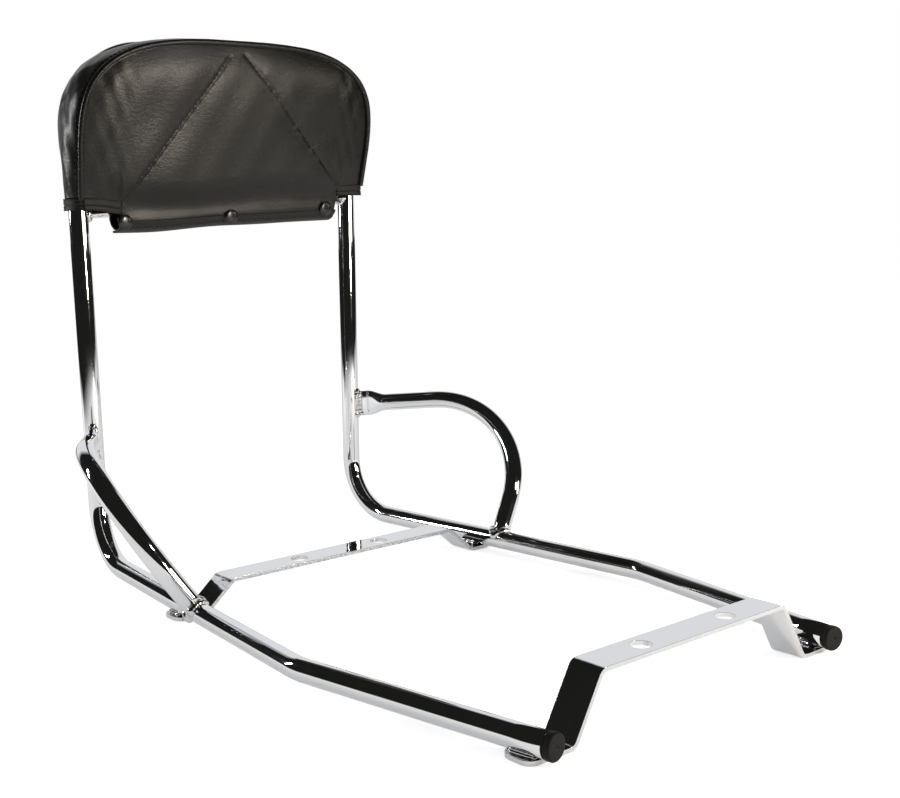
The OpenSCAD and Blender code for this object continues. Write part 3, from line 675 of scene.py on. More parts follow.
def make_strap_welds():
    """Rippled fillets along both sides of a rail where it lies on a strap's foot."""
    share = np.linspace(0, 1, 60)
    bulge = np.sqrt(np.clip(1 - (2 * share - 1) ** 4, 0.02, 1))
    for strap, start, stop in (
        ("front_strap", HALF_LINE[1], HALF_LINE[0]), ("rear_strap", HALF_LINE[2], HALF_LINE[1]),
    ):
        along = unit(stop - start)
        middle = start + along * abs((REAR_Y - STRAPS[strap][0] * MM - start[1]) / along[1])
        side = np.cross(along, [0, 0, 1])
        parts = []
        for sign in (-1, 1):
            base = middle + along * ((2 * share - 1) * FILLET_HALF)[:, None] + side * sign * FILLET_OUT
            base[:, 2] = FILLET_Z
            for line in (base, base * MIRROR):
                sideways = np.cross(unit(line[-1] - line[0]), [0, 0, 1]) * 1.1
                ripple = 1 + 0.1 * np.abs(np.sin(np.pi * 2.5 * share + len(parts)))
                radius = (FILLET_R * bulge * ripple)[:, None, None]
                grid = line[:, None] + radius * circle(sideways, [0, 0, 0.75], 12)
                parts.append(tube_mesh(f"part_{len(parts)}", grid, coat("weld_bead")))
        put(join(strap + "_bead", parts), "weld_metal", strap + "_welds")


def join(name, parts):
    """Several pieces made one."""
    work = bmesh.new()
    for part in parts:
        work.from_mesh(part.data)
    mesh = bpy.data.meshes.new(name)
    work.to_mesh(mesh)
    work.free()
    mesh.materials.append(parts[0].data.materials[0])
    for part in parts:
        bpy.data.objects.remove(part)
    piece = bpy.data.objects.new(name, mesh)
    bpy.context.scene.collection.objects.link(piece)
    return piece


# For each strap, in mm: reach, top height, and half widths at the top, the leg's foot and the foot's end
STRAPS = {
    "front_strap": (527.5, 43.0, 86.0, 109.0, 145.0),
    "rear_strap": (164.0, 24.5, 109.0, 134.0, 158.0),
}
STRAP_W, STRAP_T, STRAP_BEND, STRAP_EDGE = np.array([25, 3, 6.5, 0.5]) * MM
HOLE_R, HOLE_X, CORNER_R = np.array([7, 40, 8]) * MM
FILLET_HALF, FILLET_OUT, FILLET_Z, FILLET_R = np.array([9, 5.6, 4.3, 1.7]) * MM


def strap_pattern(s, middle, cols=17, ring=6):
    """Flat pattern of a strap: points (length, share of the half width) and quads.

    Rows of points run across it, apart from a square round each hole. There, rings run from the
    hole's circle to the square, by straight lines at the same angle.
    """
    half = STRAP_W / 2
    across = np.linspace(-1, 1, cols)
    stops = [-np.inf, *(middle + k * HOLE_X + e * half for k in (-1, 1) for e in (-1, 1)), np.inf]
    points, faces, count = [], [], 0
    for low, high in ((stops[0], stops[1]), (stops[2], stops[3]), (stops[4], stops[5])):
        rows = np.concatenate([[low], s[(s > low + 1e-4) & (s < high - 1e-4)], [high]])
        rows = rows[np.isfinite(rows)]
        grid = np.stack(np.meshgrid(rows, across, indexing="ij"), -1)
        points.append(grid.reshape(-1, 2))
        faces += grid_faces(len(rows), cols, count)
        count += len(rows) * cols
    edge = across[:-1]
    one = np.ones(cols - 1)
    square = np.hstack([[edge, -one], [one, edge], [-edge, one], [-one, -edge]]).T
    hole = unit(square) * HOLE_R / half
    for k in (-1, 1):
        grid = hole + (square - hole) * np.linspace(0, 1, ring)[:, None, None]
        grid = np.stack([middle + k * HOLE_X + grid[..., 0] * half, grid[..., 1]], -1)
        points.append(grid.reshape(-1, 2))
        faces += grid_faces(ring, len(square), count, around=True)
        count += ring * len(square)
    keys, where = np.unique(np.round(np.vstack(points), 8), axis=0, return_inverse=True)
    return keys, where.ravel()[np.array(faces)]


def make_straps():
    """Each strap: its flat pattern wrapped along a bent line, with half the thickness on each side."""
    for name, (reach, top_z, half, leg, foot) in STRAPS.items():
        mid = STRAP_T / 2
        side = np.array([[foot * MM, 0, mid], [leg * MM, 0, mid], [half * MM, 0, top_z * MM - mid]])
        corners = np.vstack([side * MIRROR, side[::-1]]) + [0, REAR_Y - reach * MM, 0]
        bends = [0] + [STRAP_BEND] * 4 + [0]
        line, normal, _ = bent_line(corners, bends, [0, 0, 1], np.radians(5), 0.006)
        s = lengths_along(line)
        ends = np.linspace(0, CORNER_R, 10)
        flat, quads = strap_pattern(np.unique(np.concatenate([s, ends, s[-1] - ends])), s[-1] / 2)
        near = np.clip(CORNER_R - np.minimum(flat[:, 0], s[-1] - flat[:, 0]), 0, CORNER_R)
        width = STRAP_W / 2 - CORNER_R + np.sqrt(CORNER_R**2 - near**2)
        middle = between(flat[:, 0], s, line) + (flat[:, 1] * width)[:, None] * [0, 1, 0]
        up = unit(between(flat[:, 0], s, normal)) * mid
        edges = np.sort(np.vstack([quads[:, [i, (i + 1) % 4]] for i in range(4)]), axis=1)
        keys, times = np.unique(edges, axis=0, return_counts=True)
        rim, n = keys[times == 1], len(flat)
        faces = quads.tolist() + (quads[:, ::-1] + n).tolist()
        faces += np.stack([rim[:, 0], rim[:, 1], rim[:, 1] + n, rim[:, 0] + n], -1).tolist()
        points = np.vstack([middle + up, middle - up])
        piece = make_mesh(name + "_plate", points, faces, coat("plated_bar"))
        bevel = piece.modifiers.new("round", "BEVEL")
        bevel.width = STRAP_EDGE
        bevel.segments = 3
        bevel.limit_method = "ANGLE"
        bevel.angle_limit = np.radians(40)
        bevel.harden_normals = True
        put(piece, "chrome_plate", name)


def make_plugs():
    """End plugs, turned from a profile: shank, collar, groove, soft-rimmed cap and dimple."""
    profile = np.vstack([
        [[0.001, -16], [6.3, -16], [6.3, 1.25], [7.8, 1.25]],
        arc_profile((7.8, 1.7), 0.4, -60, 0, 4),
        [[8.2, 2.3]],
        arc_profile((7.9, 2.35), 0.3, 10, 90, 4),
        [[7.5, 2.7], [7.5, 2.95]],
        arc_profile((7.95, 3.5), 0.55, -90, 0, 5),
        arc_profile((7.0, 5.9), 1.5, 0, 90, 9),
        [[5.0, 7.42], [2.6, 7.5], [1.5, 7.48], [1.15, 7.3], [0.8, 7.0], [0.4, 6.85], [0.001, 6.8]],
    ]) * MM
    along = unit(HALF_LINE[0] - HALF_LINE[1])
    for name, mirror in (("right", np.ones(3)), ("left", MIRROR)):
        start, coating = HALF_LINE[0] * mirror, coat("moulded_rubber")
        piece = lathe_mesh(f"plug_{name}", profile, start, along * mirror, coating)
        put(piece, "black_rubber", f"end_plug_{name}")


# The padded cover: the seams' lines, in metres


HALF_W, BACK_W = 0.1405, 0.1425
SHOULDER_Z, TOP_Z, BACK_TOP_Z = 0.357, 0.44, 0.4425
POWER, BACK_POWER, TAPER = 3.15, 3.0, 0.06
SLEEVE_Z, BINDING_H = 0.305, 0.009
LOW_Z = SLEEVE_Z + BINDING_H
RIGHT_LIFT = 0.0088
VINYL, TAPE = 0.0012, 0.0008
BACK_DEPTH, BACK_FULL = 0.0105, 0.003
FLAP_LEFT, FLAP_RIGHT, FLAP_W = -0.1055, 0.1115, 0.114
STUD_R = 6.5
STUDS = ((-0.103, 0.2945), (-0.001, 0.2968), (0.0995, 0.3022))
HEM_R, HEM_MID, HEM_Z, TAPE_Z = 0.0126, -0.0021, 0.302, 0.2967
SEAM_FRONT, LEAN = 0.0135, 0.23
BACK_CROWN, BACK_SHIFT = 0.0016, 0.001
CLOSE = 0.0002
# For each sleeve: its end of the boxing, the tape's inner edge in x, and the tape's top
SLEEVES = {
    "left": (0, FLAP_LEFT + 0.001, LOW_Z), "right": (-1, FLAP_RIGHT + 0.001, LOW_Z + RIGHT_LIFT)}
# Where the crown fades towards the lower edge, and where the sheet is pressed on the hem:
# a start and a width from the left, from the right and upwards
FADE_SHARE, FADE_START, FADE_H = 0.85, 0.022, 0.034
PRESS_ABOVE, PRESS_DROP = 0.003, 0.010
PRESS = ((-0.122, 0.035), (0.128, 0.03), (0.014, 0.032))
# Shares and widths of a seam's crease, and the puckers along it
CREASES = ((0.85, 0.0012), (0.5, 0.009))
PUCKER, PUCKER_W, PUCKERS = 0.0001, 0.004, 17
# Waves of each part of the cover: lengths and heights
PANEL_WAVES = [(0.11, 0.0006), (0.07, 0.0004), (0.045, 0.00025), (0.03, 0.00015)]
EDGE_WAVES = [(0.02, 0.0002), (0.013, 0.00012)]
BACK_WAVES = [(0.09, 0.0004), (0.06, 0.0003), (0.035, 0.0002)]
WRINKLES = [(0.05, 0.0004), (0.033, 0.00045), (0.021, 0.0003), (0.014, 0.0002), (0.009, 0.00012)]
FLAP_R = HEM_R + VINYL + 0.0002
FLAP_RZ = HEM_R + 0.0002
PUFF = 0.007
SEAMS = (((-0.0122, 0.4306), (-0.1085, 0.3069)), ((0.0019, 0.4337), (0.1158, 0.3184)))


def tilt_at(x):
    """The lower edge's even rise from left to right."""
    return 0.0014 + 0.0026 * x / 0.106


def lower_dz(x):
    """How far the lower edge and what lies under it stand higher from left to right."""
    return tilt_at(x) + sag_at(x)


def line_z(x):
    """Height of the tape's upper edge along the flap."""
    return TAPE_Z + tilt_at(x) + 0.5 * sag_at(x)


def seam_y(z):
    """Depth of the front seam at a height: a plane that leans forward to the top."""
    return REAR_Y - SEAM_FRONT - LEAN * (z - SLEEVE_Z)


def side_x(half_w, z):
    """Half width at a height, drawing in below the shoulder."""
    return half_w - TAPER * np.maximum(SHOULDER_Z - z, 0)


def top_share(u, power):
    """Height of the rounded top at a share of the half width: (1 - |u|^n)^(1/n)."""
    return np.maximum(1 - np.abs(u) ** power, 0) ** (1 / power)


def crown(u, q):
    """Share of the stuffing's depth, u across and q up or down: 1 - (|u|^3 + q^3)^1.6."""
    return 1 - np.minimum(np.abs(u) ** 3 + np.clip(q, 0, 1) ** 3, 1) ** 1.6


def flap_share(x):
    """1 between the uprights, where the flap is, and 0 beyond it."""
    return smooth((x - FLAP_LEFT + 0.0035) / 0.004) * smooth((0.1165 - x) / 0.004)


def sleeve_low(x):
    """Height of the sleeve's lower end, higher on the right than on the left."""
    return SLEEVE_Z + RIGHT_LIFT * smooth(x / 0.1 + 0.5)


def sag_at(x):
    """Uneven hang of the lower edge: lowest at the left, and drawn up a little at each stud."""
    sag = bpy.context.scene.backrest_cover.sag
    t = x / FLAP_W
    hang = 0.75 * hill(t, -0.55, 0.3) + 0.2 * hill(t, 0.45, 0.3) - 0.3 * hill(t, 0, 0.25)
    return -sag * (hang + 0.15 * np.sin(7 * t + 1.0))


def hem_front(x, z, radius, radius_z):
    """Depth of the hem's front face: an ellipse below the rod and upright above it."""
    down = np.clip((HEM_Z + lower_dz(x) - z) / radius_z, 0, 1)
    return REAR_Y + HEM_MID - radius * np.sqrt(1 - down**2)


def to_line(x, z, line):
    """Distance to a line between two points in XZ, and the share along it."""
    (x0, z0), (x1, z1) = line
    dx, dz = x1 - x0, z1 - z0
    t = ((x - x0) * dx + (z - z0) * dz) / (dx * dx + dz * dz)
    near = np.clip(t, 0, 1)
    return np.hypot(x - x0 - near * dx, z - z0 - near * dz), t


def panel_y(x, z):
    """Depth of the stuffed front panel.

    It is puff times the crown, which fades towards the lower edge, where the sheet is pressed on the
    hem. Each seam is a crease with a gaussian section, and small waves lie over all of it.
    """
    cover = bpy.context.scene.backrest_cover
    u = np.clip(np.abs(x) / side_x(HALF_W, z), 0, 1)
    f = flap_share(x)
    low = sleeve_low(x) + BINDING_H + PRESS_ABOVE - PRESS_DROP * f
    share = crown(u, (z - SHOULDER_Z) / (TOP_Z - SHOULDER_Z))
    share = share * (1 - FADE_SHARE * smooth((low + FADE_START - z) / FADE_H))
    y = seam_y(z) - PUFF * share
    (left, left_w), (right, right_w), (start, height) = PRESS
    k = smooth((x - left) / left_w) * smooth((right - x) / right_w) * smooth((low + start - z) / height)
    y = y + k * (hem_front(x, z, FLAP_R + VINYL, FLAP_RZ + VINYL) - y)
    for line in SEAMS:
        d, t = to_line(x, z, line)
        pull = np.clip(share * 2.5, 0, 1)
        y += cover.crease * pull * sum(share_of * hill(d, 0, width) for share_of, width in CREASES)
        y += PUCKER * pull * hill(d, 0, PUCKER_W) * np.sin(t * 2 * np.pi * PUCKERS)
    place = np.stack([x, np.zeros_like(x), z], -1)
    y += share * waves(place, PANEL_WAVES, 11)
    edge = np.clip((1 - u) * 6, 0, 1) * np.clip((1 - u) * -6 + 2, 0, 1)
    y += edge * waves(place, EDGE_WAVES, 17)
    return y


def panel_grid():
    """Front panel's points: columns side by side, rows from the lower edge to the top seam."""
    u = np.sin(np.linspace(-np.pi / 2, np.pi / 2, 221))[:, None]
    v = np.linspace(0, 1, 141)[None]
    v = v * (1.35 - 0.35 * v)
    x0 = u * HALF_W
    f = flap_share(x0)
    low = sleeve_low(x0) + 0.0003
    low = low + (line_z(x0) - 0.0015 - low) * f
    top = SHOULDER_Z + top_share(u, POWER) * (TOP_Z - SHOULDER_Z)
    z = low + (top - low) * v
    return u * side_x(HALF_W, z), z


def sheet_mesh(name, x, y, z, step, material):
    """Closed sheet between a surface and the same surface moved along y by its thickness."""
    return shell_mesh(name, np.stack([x, y, z], -1), np.stack([x, y + step, z], -1), material)


def make_front_panel():
    """The stuffed front panel, a closed sheet of vinyl that stands for the foam behind it."""
    x, z = panel_grid()
    piece = sheet_mesh("front_panel", x, panel_y(x, z), z, VINYL, coat("grained_vinyl"))
    put(piece, "black_vinyl", "cover_front_panel", "foam_pad")


def stitches_on(points, normals, length, gap):
    """Start and end of each stitch along a line of points, with the normal there."""
    s = lengths_along(points)
    starts = np.arange(0, s[-1] - length, length + gap)
    up = unit(between(starts + length / 2, s, normals))
    return between(starts, s, points), between(starts + length, s, points), up


def sew(name, slot, starts, ends, normals):
    """Makes one piece of a line's stitches."""
    radius = bpy.context.scene.backrest_cover.thread_r
    put(thread_mesh(name, starts, ends, normals, radius, coat("sewing_thread")), slot)


def make_seam_stitches():
    """Stitches down the panel's two slanting seams."""
    cover = bpy.context.scene.backrest_cover
    parts = []
    for (x0, z0), (x1, z1) in SEAMS:
        t = np.linspace(0.0, 0.985, 300)
        x, z = x0 + (x1 - x0) * t, z0 + (z1 - z0) * t
        points = np.stack([x, panel_y(x, z) - 0.0001, z], -1)
        normals = np.broadcast_to(unit([0, -1, 0.15]), points.shape)
        parts.append(stitches_on(points, normals, cover.stitch, cover.stitch_gap))
    sew("seam_stitches", "black_vinyl", *(np.vstack(p) for p in zip(*parts)))


def outline(half_w, top_z, power=POWER, side_n=24, top_n=140):
    """Pad outline in XZ from the left lower end over the top: (w |cos a|^(2/n), rise |sin a|^(2/n))."""
    left_z = np.linspace(LOW_Z, SHOULDER_Z, side_n, endpoint=False)
    right_z = np.linspace(LOW_Z + RIGHT_LIFT, SHOULDER_Z, side_n, endpoint=False)
    left = np.stack([-side_x(half_w, left_z), left_z], -1)
    right = np.stack([side_x(half_w, right_z), right_z], -1)[::-1]
    a = np.linspace(0, np.pi, top_n)
    e = 2 / power
    arc = np.stack([
        -np.sign(np.cos(a)) * np.abs(np.cos(a)) ** e * half_w,
        SHOULDER_Z + np.abs(np.sin(a)) ** e * (top_z - SHOULDER_Z)], -1)
    return np.vstack([left, arc, right])


def outward_of(line):
    """Outward direction at each point of an outline, from its neighbours."""
    d = unit(np.vstack([line[1:], line[-1:]]) - np.vstack([line[:1], line[:-1]]))
    return np.stack([-d[:, 1], d[:, 0]], -1)


def back_y(z):
    """Depth of the back seam, fuller above the sleeves."""
    return REAR_Y + BACK_DEPTH + BACK_FULL * smooth((z - 0.315) / 0.06)


def back_shift(z):
    """How far the back's outline lies to the right of the middle."""
    return BACK_SHIFT * smooth((z - 0.32) / 0.05)


def boxing_grid(inset=0.0, grow=0.0, wrinkle=True, angles=None):
    """Boxing over the hoop: half an ellipse from the front seam to the back seam, bulged outward."""
    front, back = outline(HALF_W, TOP_Z), outline(BACK_W, BACK_TOP_Z, BACK_POWER)
    z = front[:, 1]
    back = back + np.stack([back_shift(z), 0 * z], -1)
    a = np.linspace(0, np.pi, 41) if angles is None else angles
    share = (1 - np.cos(a)) / 2
    flat = front[:, None] + (back - front)[:, None] * share[None, :, None]
    bulge = 0.0066 + 0.0002 * smooth((z - SLEEVE_Z) / (SHOULDER_Z - SLEEVE_Z))
    bulge = bulge - 0.001 * smooth((z - 0.41) / 0.02)
    out = outward_of(front)
    reach = (bulge[:, None] - inset + grow) * np.sin(a)[None]
    flat = flat + out[:, None] * reach[..., None]
    near = seam_y(z) + VINYL + 0.00005
    far = back_y(z) - VINYL - 0.00005
    half = (far - near) / 2 - inset + grow
    y = ((near + far) / 2)[:, None] - half[:, None] * np.cos(a)[None]
    grid = np.stack([flat[..., 0], y, flat[..., 1]], -1)
    if wrinkle:
        swell = waves(grid, WRINKLES, 23)
        calm = 1 - 0.75 * smooth((z - 0.40) / 0.03)
        swell = swell * np.sin(a)[None] ** 0.7 * calm[:, None]
        grid[..., 0] += out[:, None, 0] * swell
        grid[..., 2] += out[:, None, 1] * swell
    return grid


def make_boxing():
    """The band of vinyl over the hoop, a little wrinkled."""
    piece = shell_mesh("boxing", boxing_grid(), boxing_grid(VINYL), coat("boxing_vinyl"))
    put(piece, "black_vinyl", "cover_boxing")


def make_topstitch():
    """Stitches on the boxing beside the piping."""
    cover = bpy.context.scene.backrest_cover
    grid = boxing_grid(wrinkle=True, angles=np.radians(np.linspace(36, 40, 3)))
    points = grid[:, 1]
    front = outward_of(outline(HALF_W, TOP_Z))
    normals = unit(np.stack([front[:, 0], np.full(len(front), -1.1), front[:, 1]], -1))
    stitches = stitches_on(points + normals * CLOSE, normals, cover.stitch, cover.stitch_gap)
    sew("topstitch", "black_vinyl", *stitches)


def make_piping():
    """Welt piping: circles round the front seam's line."""
    r = bpy.context.scene.backrest_cover.piping_r
    line = outline(HALF_W, TOP_Z)
    out = outward_of(line)
    centre = np.stack([line[:, 0], seam_y(line[:, 1]) - 0.0004, line[:, 1]], -1)
    side = np.stack([out[:, 0], np.zeros(len(out)), out[:, 1]], -1)
    centre = centre + side * (r * 0.75)
    along = unit(np.gradient(centre, axis=0))
    r = r * (1 + 0.03 * waves(centre, [(0.03, 1.0), (0.017, 0.6)], 5))
    skins = rings((centre, side, along), r, 20)
    put(tube_mesh("piping", skins, coat("piping_vinyl")), "black_vinyl", "front_piping")


def make_back_panel():
    """The plain back: columns as on the front, slightly crowned, with the hem under the rod."""
    u = np.sin(np.linspace(-np.pi / 2, np.pi / 2, 121))[:, None]
    v = np.linspace(0, 1, 81)[None]
    rise = BACK_TOP_Z - SHOULDER_Z
    top = SHOULDER_Z + top_share(u, BACK_POWER) * rise
    low = sleeve_low(u * BACK_W)
    z = low + (top - low) * v
    x = u * side_x(BACK_W, z)
    up = z - SHOULDER_Z
    share = crown(u, np.where(up > 0, up / rise, up / (low - SHOULDER_Z)))
    y = back_y(z) + BACK_CROWN * share
    place = np.stack([x, np.zeros_like(x), z], -1)
    y = y + share * waves(place, BACK_WAVES, 29)
    vinyl = coat("grained_vinyl")
    panel = sheet_mesh("back_panel_sheet", x + back_shift(z), y, z, -VINYL, vinyl)
    x = np.linspace(FLAP_LEFT + 0.002, FLAP_RIGHT - 0.001, 181)[:, None]
    angles = np.linspace(0, np.radians(176), 61)[None]
    outer, inner = (hem_grid(x, angles, r, r) for r in (HEM_R, HEM_R - VINYL))
    hem = shell_mesh("hem_sheet", outer, inner, vinyl)
    put(join("back_panel", [panel, hem]), "black_vinyl", "cover_back_panel", "foam_infill")


def hem_grid(x, a, radius, radius_z):
    """The hem's section along x: (radius cos a, -radius_z sin a) below the rod and up its back.

    At the back it rises from the rod's height to the back panel's lower edge.
    """
    y = REAR_Y + HEM_MID + radius * np.cos(a) + 0 * x
    z = HEM_Z + lower_dz(x) - radius_z * np.sin(a)
    rise = np.clip(1 - a / 0.25, 0, 1)
    z = z + rise * (np.maximum(sleeve_low(x) + 0.001 - HEM_Z - lower_dz(x), 0))
    return np.stack([x + 0 * a, y, z], -1)


def make_flap_binding():
    """Tape along the flap's lower edge, with its two rows of stitches."""
    x = np.linspace(FLAP_LEFT, FLAP_RIGHT, 181)[:, None]
    drop = (HEM_Z + lower_dz(x) - line_z(x)) / (FLAP_RZ + VINYL + TAPE)
    stop = np.pi - np.arcsin(np.clip(drop, 0, 1))
    share = np.linspace(0, 1, 41)[None]
    a = np.radians(78) + (stop - np.radians(78)) * share
    puff = TAPE * (0.7 + 0.5 * hill(share, 0.93, 0.06) - 0.55 * hill(share, 0.72, 0.05))
    outer = hem_grid(x, a, FLAP_R + VINYL + puff, FLAP_RZ + VINYL + puff)
    inner = hem_grid(x, a, FLAP_R + 0.00002, FLAP_RZ + 0.00002)
    tape = coat("binding_vinyl")
    put(shell_mesh("flap_tape", outer, inner, tape), "binding_tape", "flap_binding")
    cover = bpy.context.scene.backrest_cover
    points = outer[2:-2, 29] + [0, -0.0001, 0]
    normals = np.broadcast_to(unit([0, -1, -0.45]), points.shape)
    stitches = stitches_on(points, normals, cover.stitch * 0.8, cover.stitch_gap)
    sew("flap_stitches", "binding_tape", *stitches)


def sleeve_path(name, grow):
    """Line round a sleeve's end in XY, standing out from the sleeve by a small distance."""
    which, inner_x, z = SLEEVES[name]
    end = boxing_grid(grow=grow, wrinkle=False)[which]
    near_y, far_y = seam_y(z) - grow - 0.0001, REAR_Y + BACK_DEPTH + grow + 0.0004
    near = np.stack([np.linspace(inner_x, end[0, 0], 24), np.full(24, near_y)], -1)
    far = np.stack([np.linspace(end[-1, 0], inner_x, 16), np.full(16, far_y)], -1)
    return np.vstack([near, end[1:-1, :2], far])


def make_sleeve_bindings():
    """Binding round each sleeve's lower end: a folded tape that follows the boxing's section."""
    rows = np.linspace(0, 1, 25)
    fold = 0.0006 * hill(rows, 0.47, 0.05)
    edge = 0.0004 * (hill(rows, 0.02, 0.06) + hill(rows, 0.97, 0.05))
    for name, seed, slope in (("right", 41, 0.0004), ("left", 43, 0.0042)):
        outer, inner = sleeve_path(name, TAPE + CLOSE), sleeve_path(name, 0.00003)
        out = unit(np.stack([np.gradient(outer[:, 1]), -np.gradient(outer[:, 0])], -1))
        out = out * np.sign((out * (outer - outer.mean(0))).sum())
        t = np.linspace(0, 1, len(outer))
        drop = -slope * np.clip(1 - t / 0.22, 0, 1) ** 1.3
        z = SLEEVES[name][2] - BINDING_H + rows[None] * (BINDING_H + 0.0004)
        z = z + drop[:, None] * (1 - 0.35 * rows[None])
        z = z + 0.0003 * np.sin(t * 14 + seed)[:, None] * (rows[None] - 0.5)
        push = edge[None] - fold[None] + 0.0002 * np.sin(t * 23 + seed)[:, None] * np.sin(rows * 3)[None]
        xy = outer[:, None] + out[:, None] * push[..., None]
        front = np.concatenate([xy, z[..., None]], -1)
        back = np.concatenate([np.broadcast_to(inner[:, None], xy.shape), z[..., None]], -1)
        piece = shell_mesh(f"sleeve_tape_{name}", front, back, coat("binding_vinyl"))
        put(piece, "binding_tape", f"sleeve_binding_{name}")


def make_studs():
    """Press stud caps and backs, turned from profiles, with a thin rim under each low dome."""
    r = STUD_R
    turn = np.radians(np.linspace(4, 89.9, 16))
    cap = np.vstack([
        [[0.001, -1.5], [1.5, -1.5], [1.5, -0.05], [r - 0.2, -0.05]],
        arc_profile((r - 0.25, 0.25), 0.28, -80, 60, 6),
        [[r - 0.7, 0.6]],
        np.stack([(r - 0.85) * np.cos(turn), 0.7 + 0.9 * np.sin(turn)], -1),
    ]) * MM
    back = [
        [0.001, 0], [4.5, 0], [4.5, 0.5], [4.2, 0.8], [2.6, 0.85], [2.5, 1.5], [2.2, 1.6],
        [0.001, 1.6]]
    skin, inside = VINYL + TAPE, REAR_Y + HEM_MID - HEM_R + VINYL + CLOSE
    caps, backs = [], []
    for i, (x, z) in enumerate(STUDS):
        front = float(hem_front(np.array(x), np.array(z + 0.002), FLAP_R + skin, FLAP_RZ + skin)) - CLOSE
        for made, name, profile, start, way, sides in (
            (caps, "cap", cap, [x, front, z], [0, -1, -0.12], 48),
            (backs, "back", np.array(back) * MM, [x, inside, z + 0.003], [0, 1, 0], 32),
        ):
            made.append(lathe_mesh(f"{name}_{i}", profile, start, way, coat("black_lacquer"), sides))
    put(join("stud_caps", caps), "black_stud", "press_stud_caps")
    put(join("stud_backs", backs), "black_stud", "press_stud_backs")


# Stage


BEHIND, ACROSS = (0.65, 0.76, 0.0), (0.76, -0.65, 0.0)
VIEW_ANGLES = np.radians([-40.3256, 8.5647, -1.0913])
VIEW_TARGET = np.array([152.556, -128.286, 129.148]) * MM + [0, REAR_Y, 0]
VIEW_DISTANCE, VIEW_FOCAL_PX, SENSOR_MM = 1209.622 * MM, 1332.471, 36.0


def plain_light(tree, kind, colour):
    """An emission or background node of one colour."""
    return node(tree, kind, Color=(*colour, 1))


def seen_straight(tree, path):
    """1 for rays straight from the camera, or through something clear."""
    return maths(tree, "MAXIMUM", path["Is Camera Ray"], path["Is Transmission Ray"])


def make_floor():
    """A pale floor: white to the camera, and to the metal a sheet of paper in a dark room."""
    size, paper_r, glow_seen, glow_in_metal = 9.0, 1.0, 0.56, 0.12
    points = [[-size, -size, 0], [size, -size, 0], [size, size, 0], [-size, size, 0]]
    material = bpy.data.materials.new("pale_floor")
    material.use_nodes = True
    tree = material.node_tree
    shader = tree.nodes["Principled BSDF"]
    shader.inputs["Base Color"].default_value = (*bpy.context.scene.backrest_colours.floor, 1)
    shader.inputs["Roughness"].default_value = 1.0
    shader.inputs["Specular IOR Level"].default_value = 0.0
    path = tree.nodes.new("ShaderNodeLightPath").outputs
    place = node(tree, "ShaderNodeTexCoord").outputs["Object"]
    reach = node(tree, "ShaderNodeVectorMath", [(0, place)], operation="LENGTH").outputs["Value"]
    near = ramp(tree, reach, paper_r * 0.85, paper_r * 1.25, 1, 0)
    ahead = ramp(tree, dot(tree, place, BEHIND), 0.0, 0.3, 0, 1)
    across = ramp(tree, maths(tree, "ABSOLUTE", dot(tree, place, ACROSS)), 1.2, 1.5, 1, 0)
    paper = maths(tree, "MAXIMUM", near, maths(tree, "MULTIPLY", ahead, across))
    glow = plain_light(tree, "ShaderNodeEmission", (1, 1, 1))
    in_metal = maths(tree, "MULTIPLY", path["Is Glossy Ray"], glow_in_metal)
    tree.links.new(added(tree, in_metal, seen_straight(tree, path), glow_seen), glow.inputs["Strength"])
    total = node(tree, "ShaderNodeAddShader", [(0, shader.outputs[0]), (1, glow.outputs[0])])
    dark = plain_light(tree, "ShaderNodeEmission", (0.012, 0.012, 0.011))
    hidden = maths(tree, "MULTIPLY", maths(tree, "SUBTRACT", 1.0, paper), path["Is Glossy Ray"])
    shown = node(tree, "ShaderNodeMixShader", [(0, hidden), (1, total.outputs[0]), (2, dark.outputs[0])])
    tree.links.new(shown.outputs[0], tree.nodes["Material Output"].inputs["Surface"])
    piece = make_mesh("floor", points, [[0, 1, 2, 3]], material, closed=False, flat=True)


def make_world():
    """Studio: white to the camera; the metal sees a white backdrop behind it in a dark room."""
    world = bpy.data.worlds.new("studio")
    bpy.context.scene.world = world
    world.use_nodes = True
    tree = world.node_tree
    tree.nodes.clear()
    place = node(tree, "ShaderNodeTexCoord").outputs["Generated"]
    sector = ramp(tree, dot(tree, place, BEHIND), 0.58, 0.70, 0, 1)
    low = ramp(tree, part_of(tree, place, "Z"), 0.60, 0.72, 1, 0)
    backdrop = maths(tree, "MULTIPLY", sector, low)
    colour = mixed(tree, backdrop, (0.011, 0.0115, 0.010), (0.80, 0.80, 0.81))
    path = tree.nodes.new("ShaderNodeLightPath").outputs
    kind = "ShaderNodeBackground"
    room = node(tree, kind, [("Color", colour)]).outputs[0]
    plain = plain_light(tree, kind, (0.52, 0.52, 0.52)).outputs[0]
    white = plain_light(tree, kind, (1, 1, 1)).outputs[0]
    unseen = node(
        tree, "ShaderNodeMixShader", [(0, path["Is Glossy Ray"]), (1, plain), (2, room)]).outputs[0]
    shown = node(tree, "ShaderNodeMixShader", [(0, seen_straight(tree, path)), (1, unseen), (2, white)])
    output = tree.nodes.new("ShaderNodeOutputWorld")
    tree.links.new(shown.outputs[0], output.inputs["Surface"])


def add_lamp(name, place, aim, size, power, colour=(1, 1, 1)):
    """An area lamp at a place, facing a point."""
    data = bpy.data.lights.new(name, "AREA")
    data.shape = "RECTANGLE"
    data.size, data.size_y = size
    data.energy = power
    data.color = colour
    lamp = bpy.data.objects.new(name, data)
    lamp.location = place
    lamp.rotation_euler = (Vector(aim) - Vector(place)).to_track_quat("-Z", "Y").to_euler()
    bpy.context.scene.collection.objects.link(lamp)


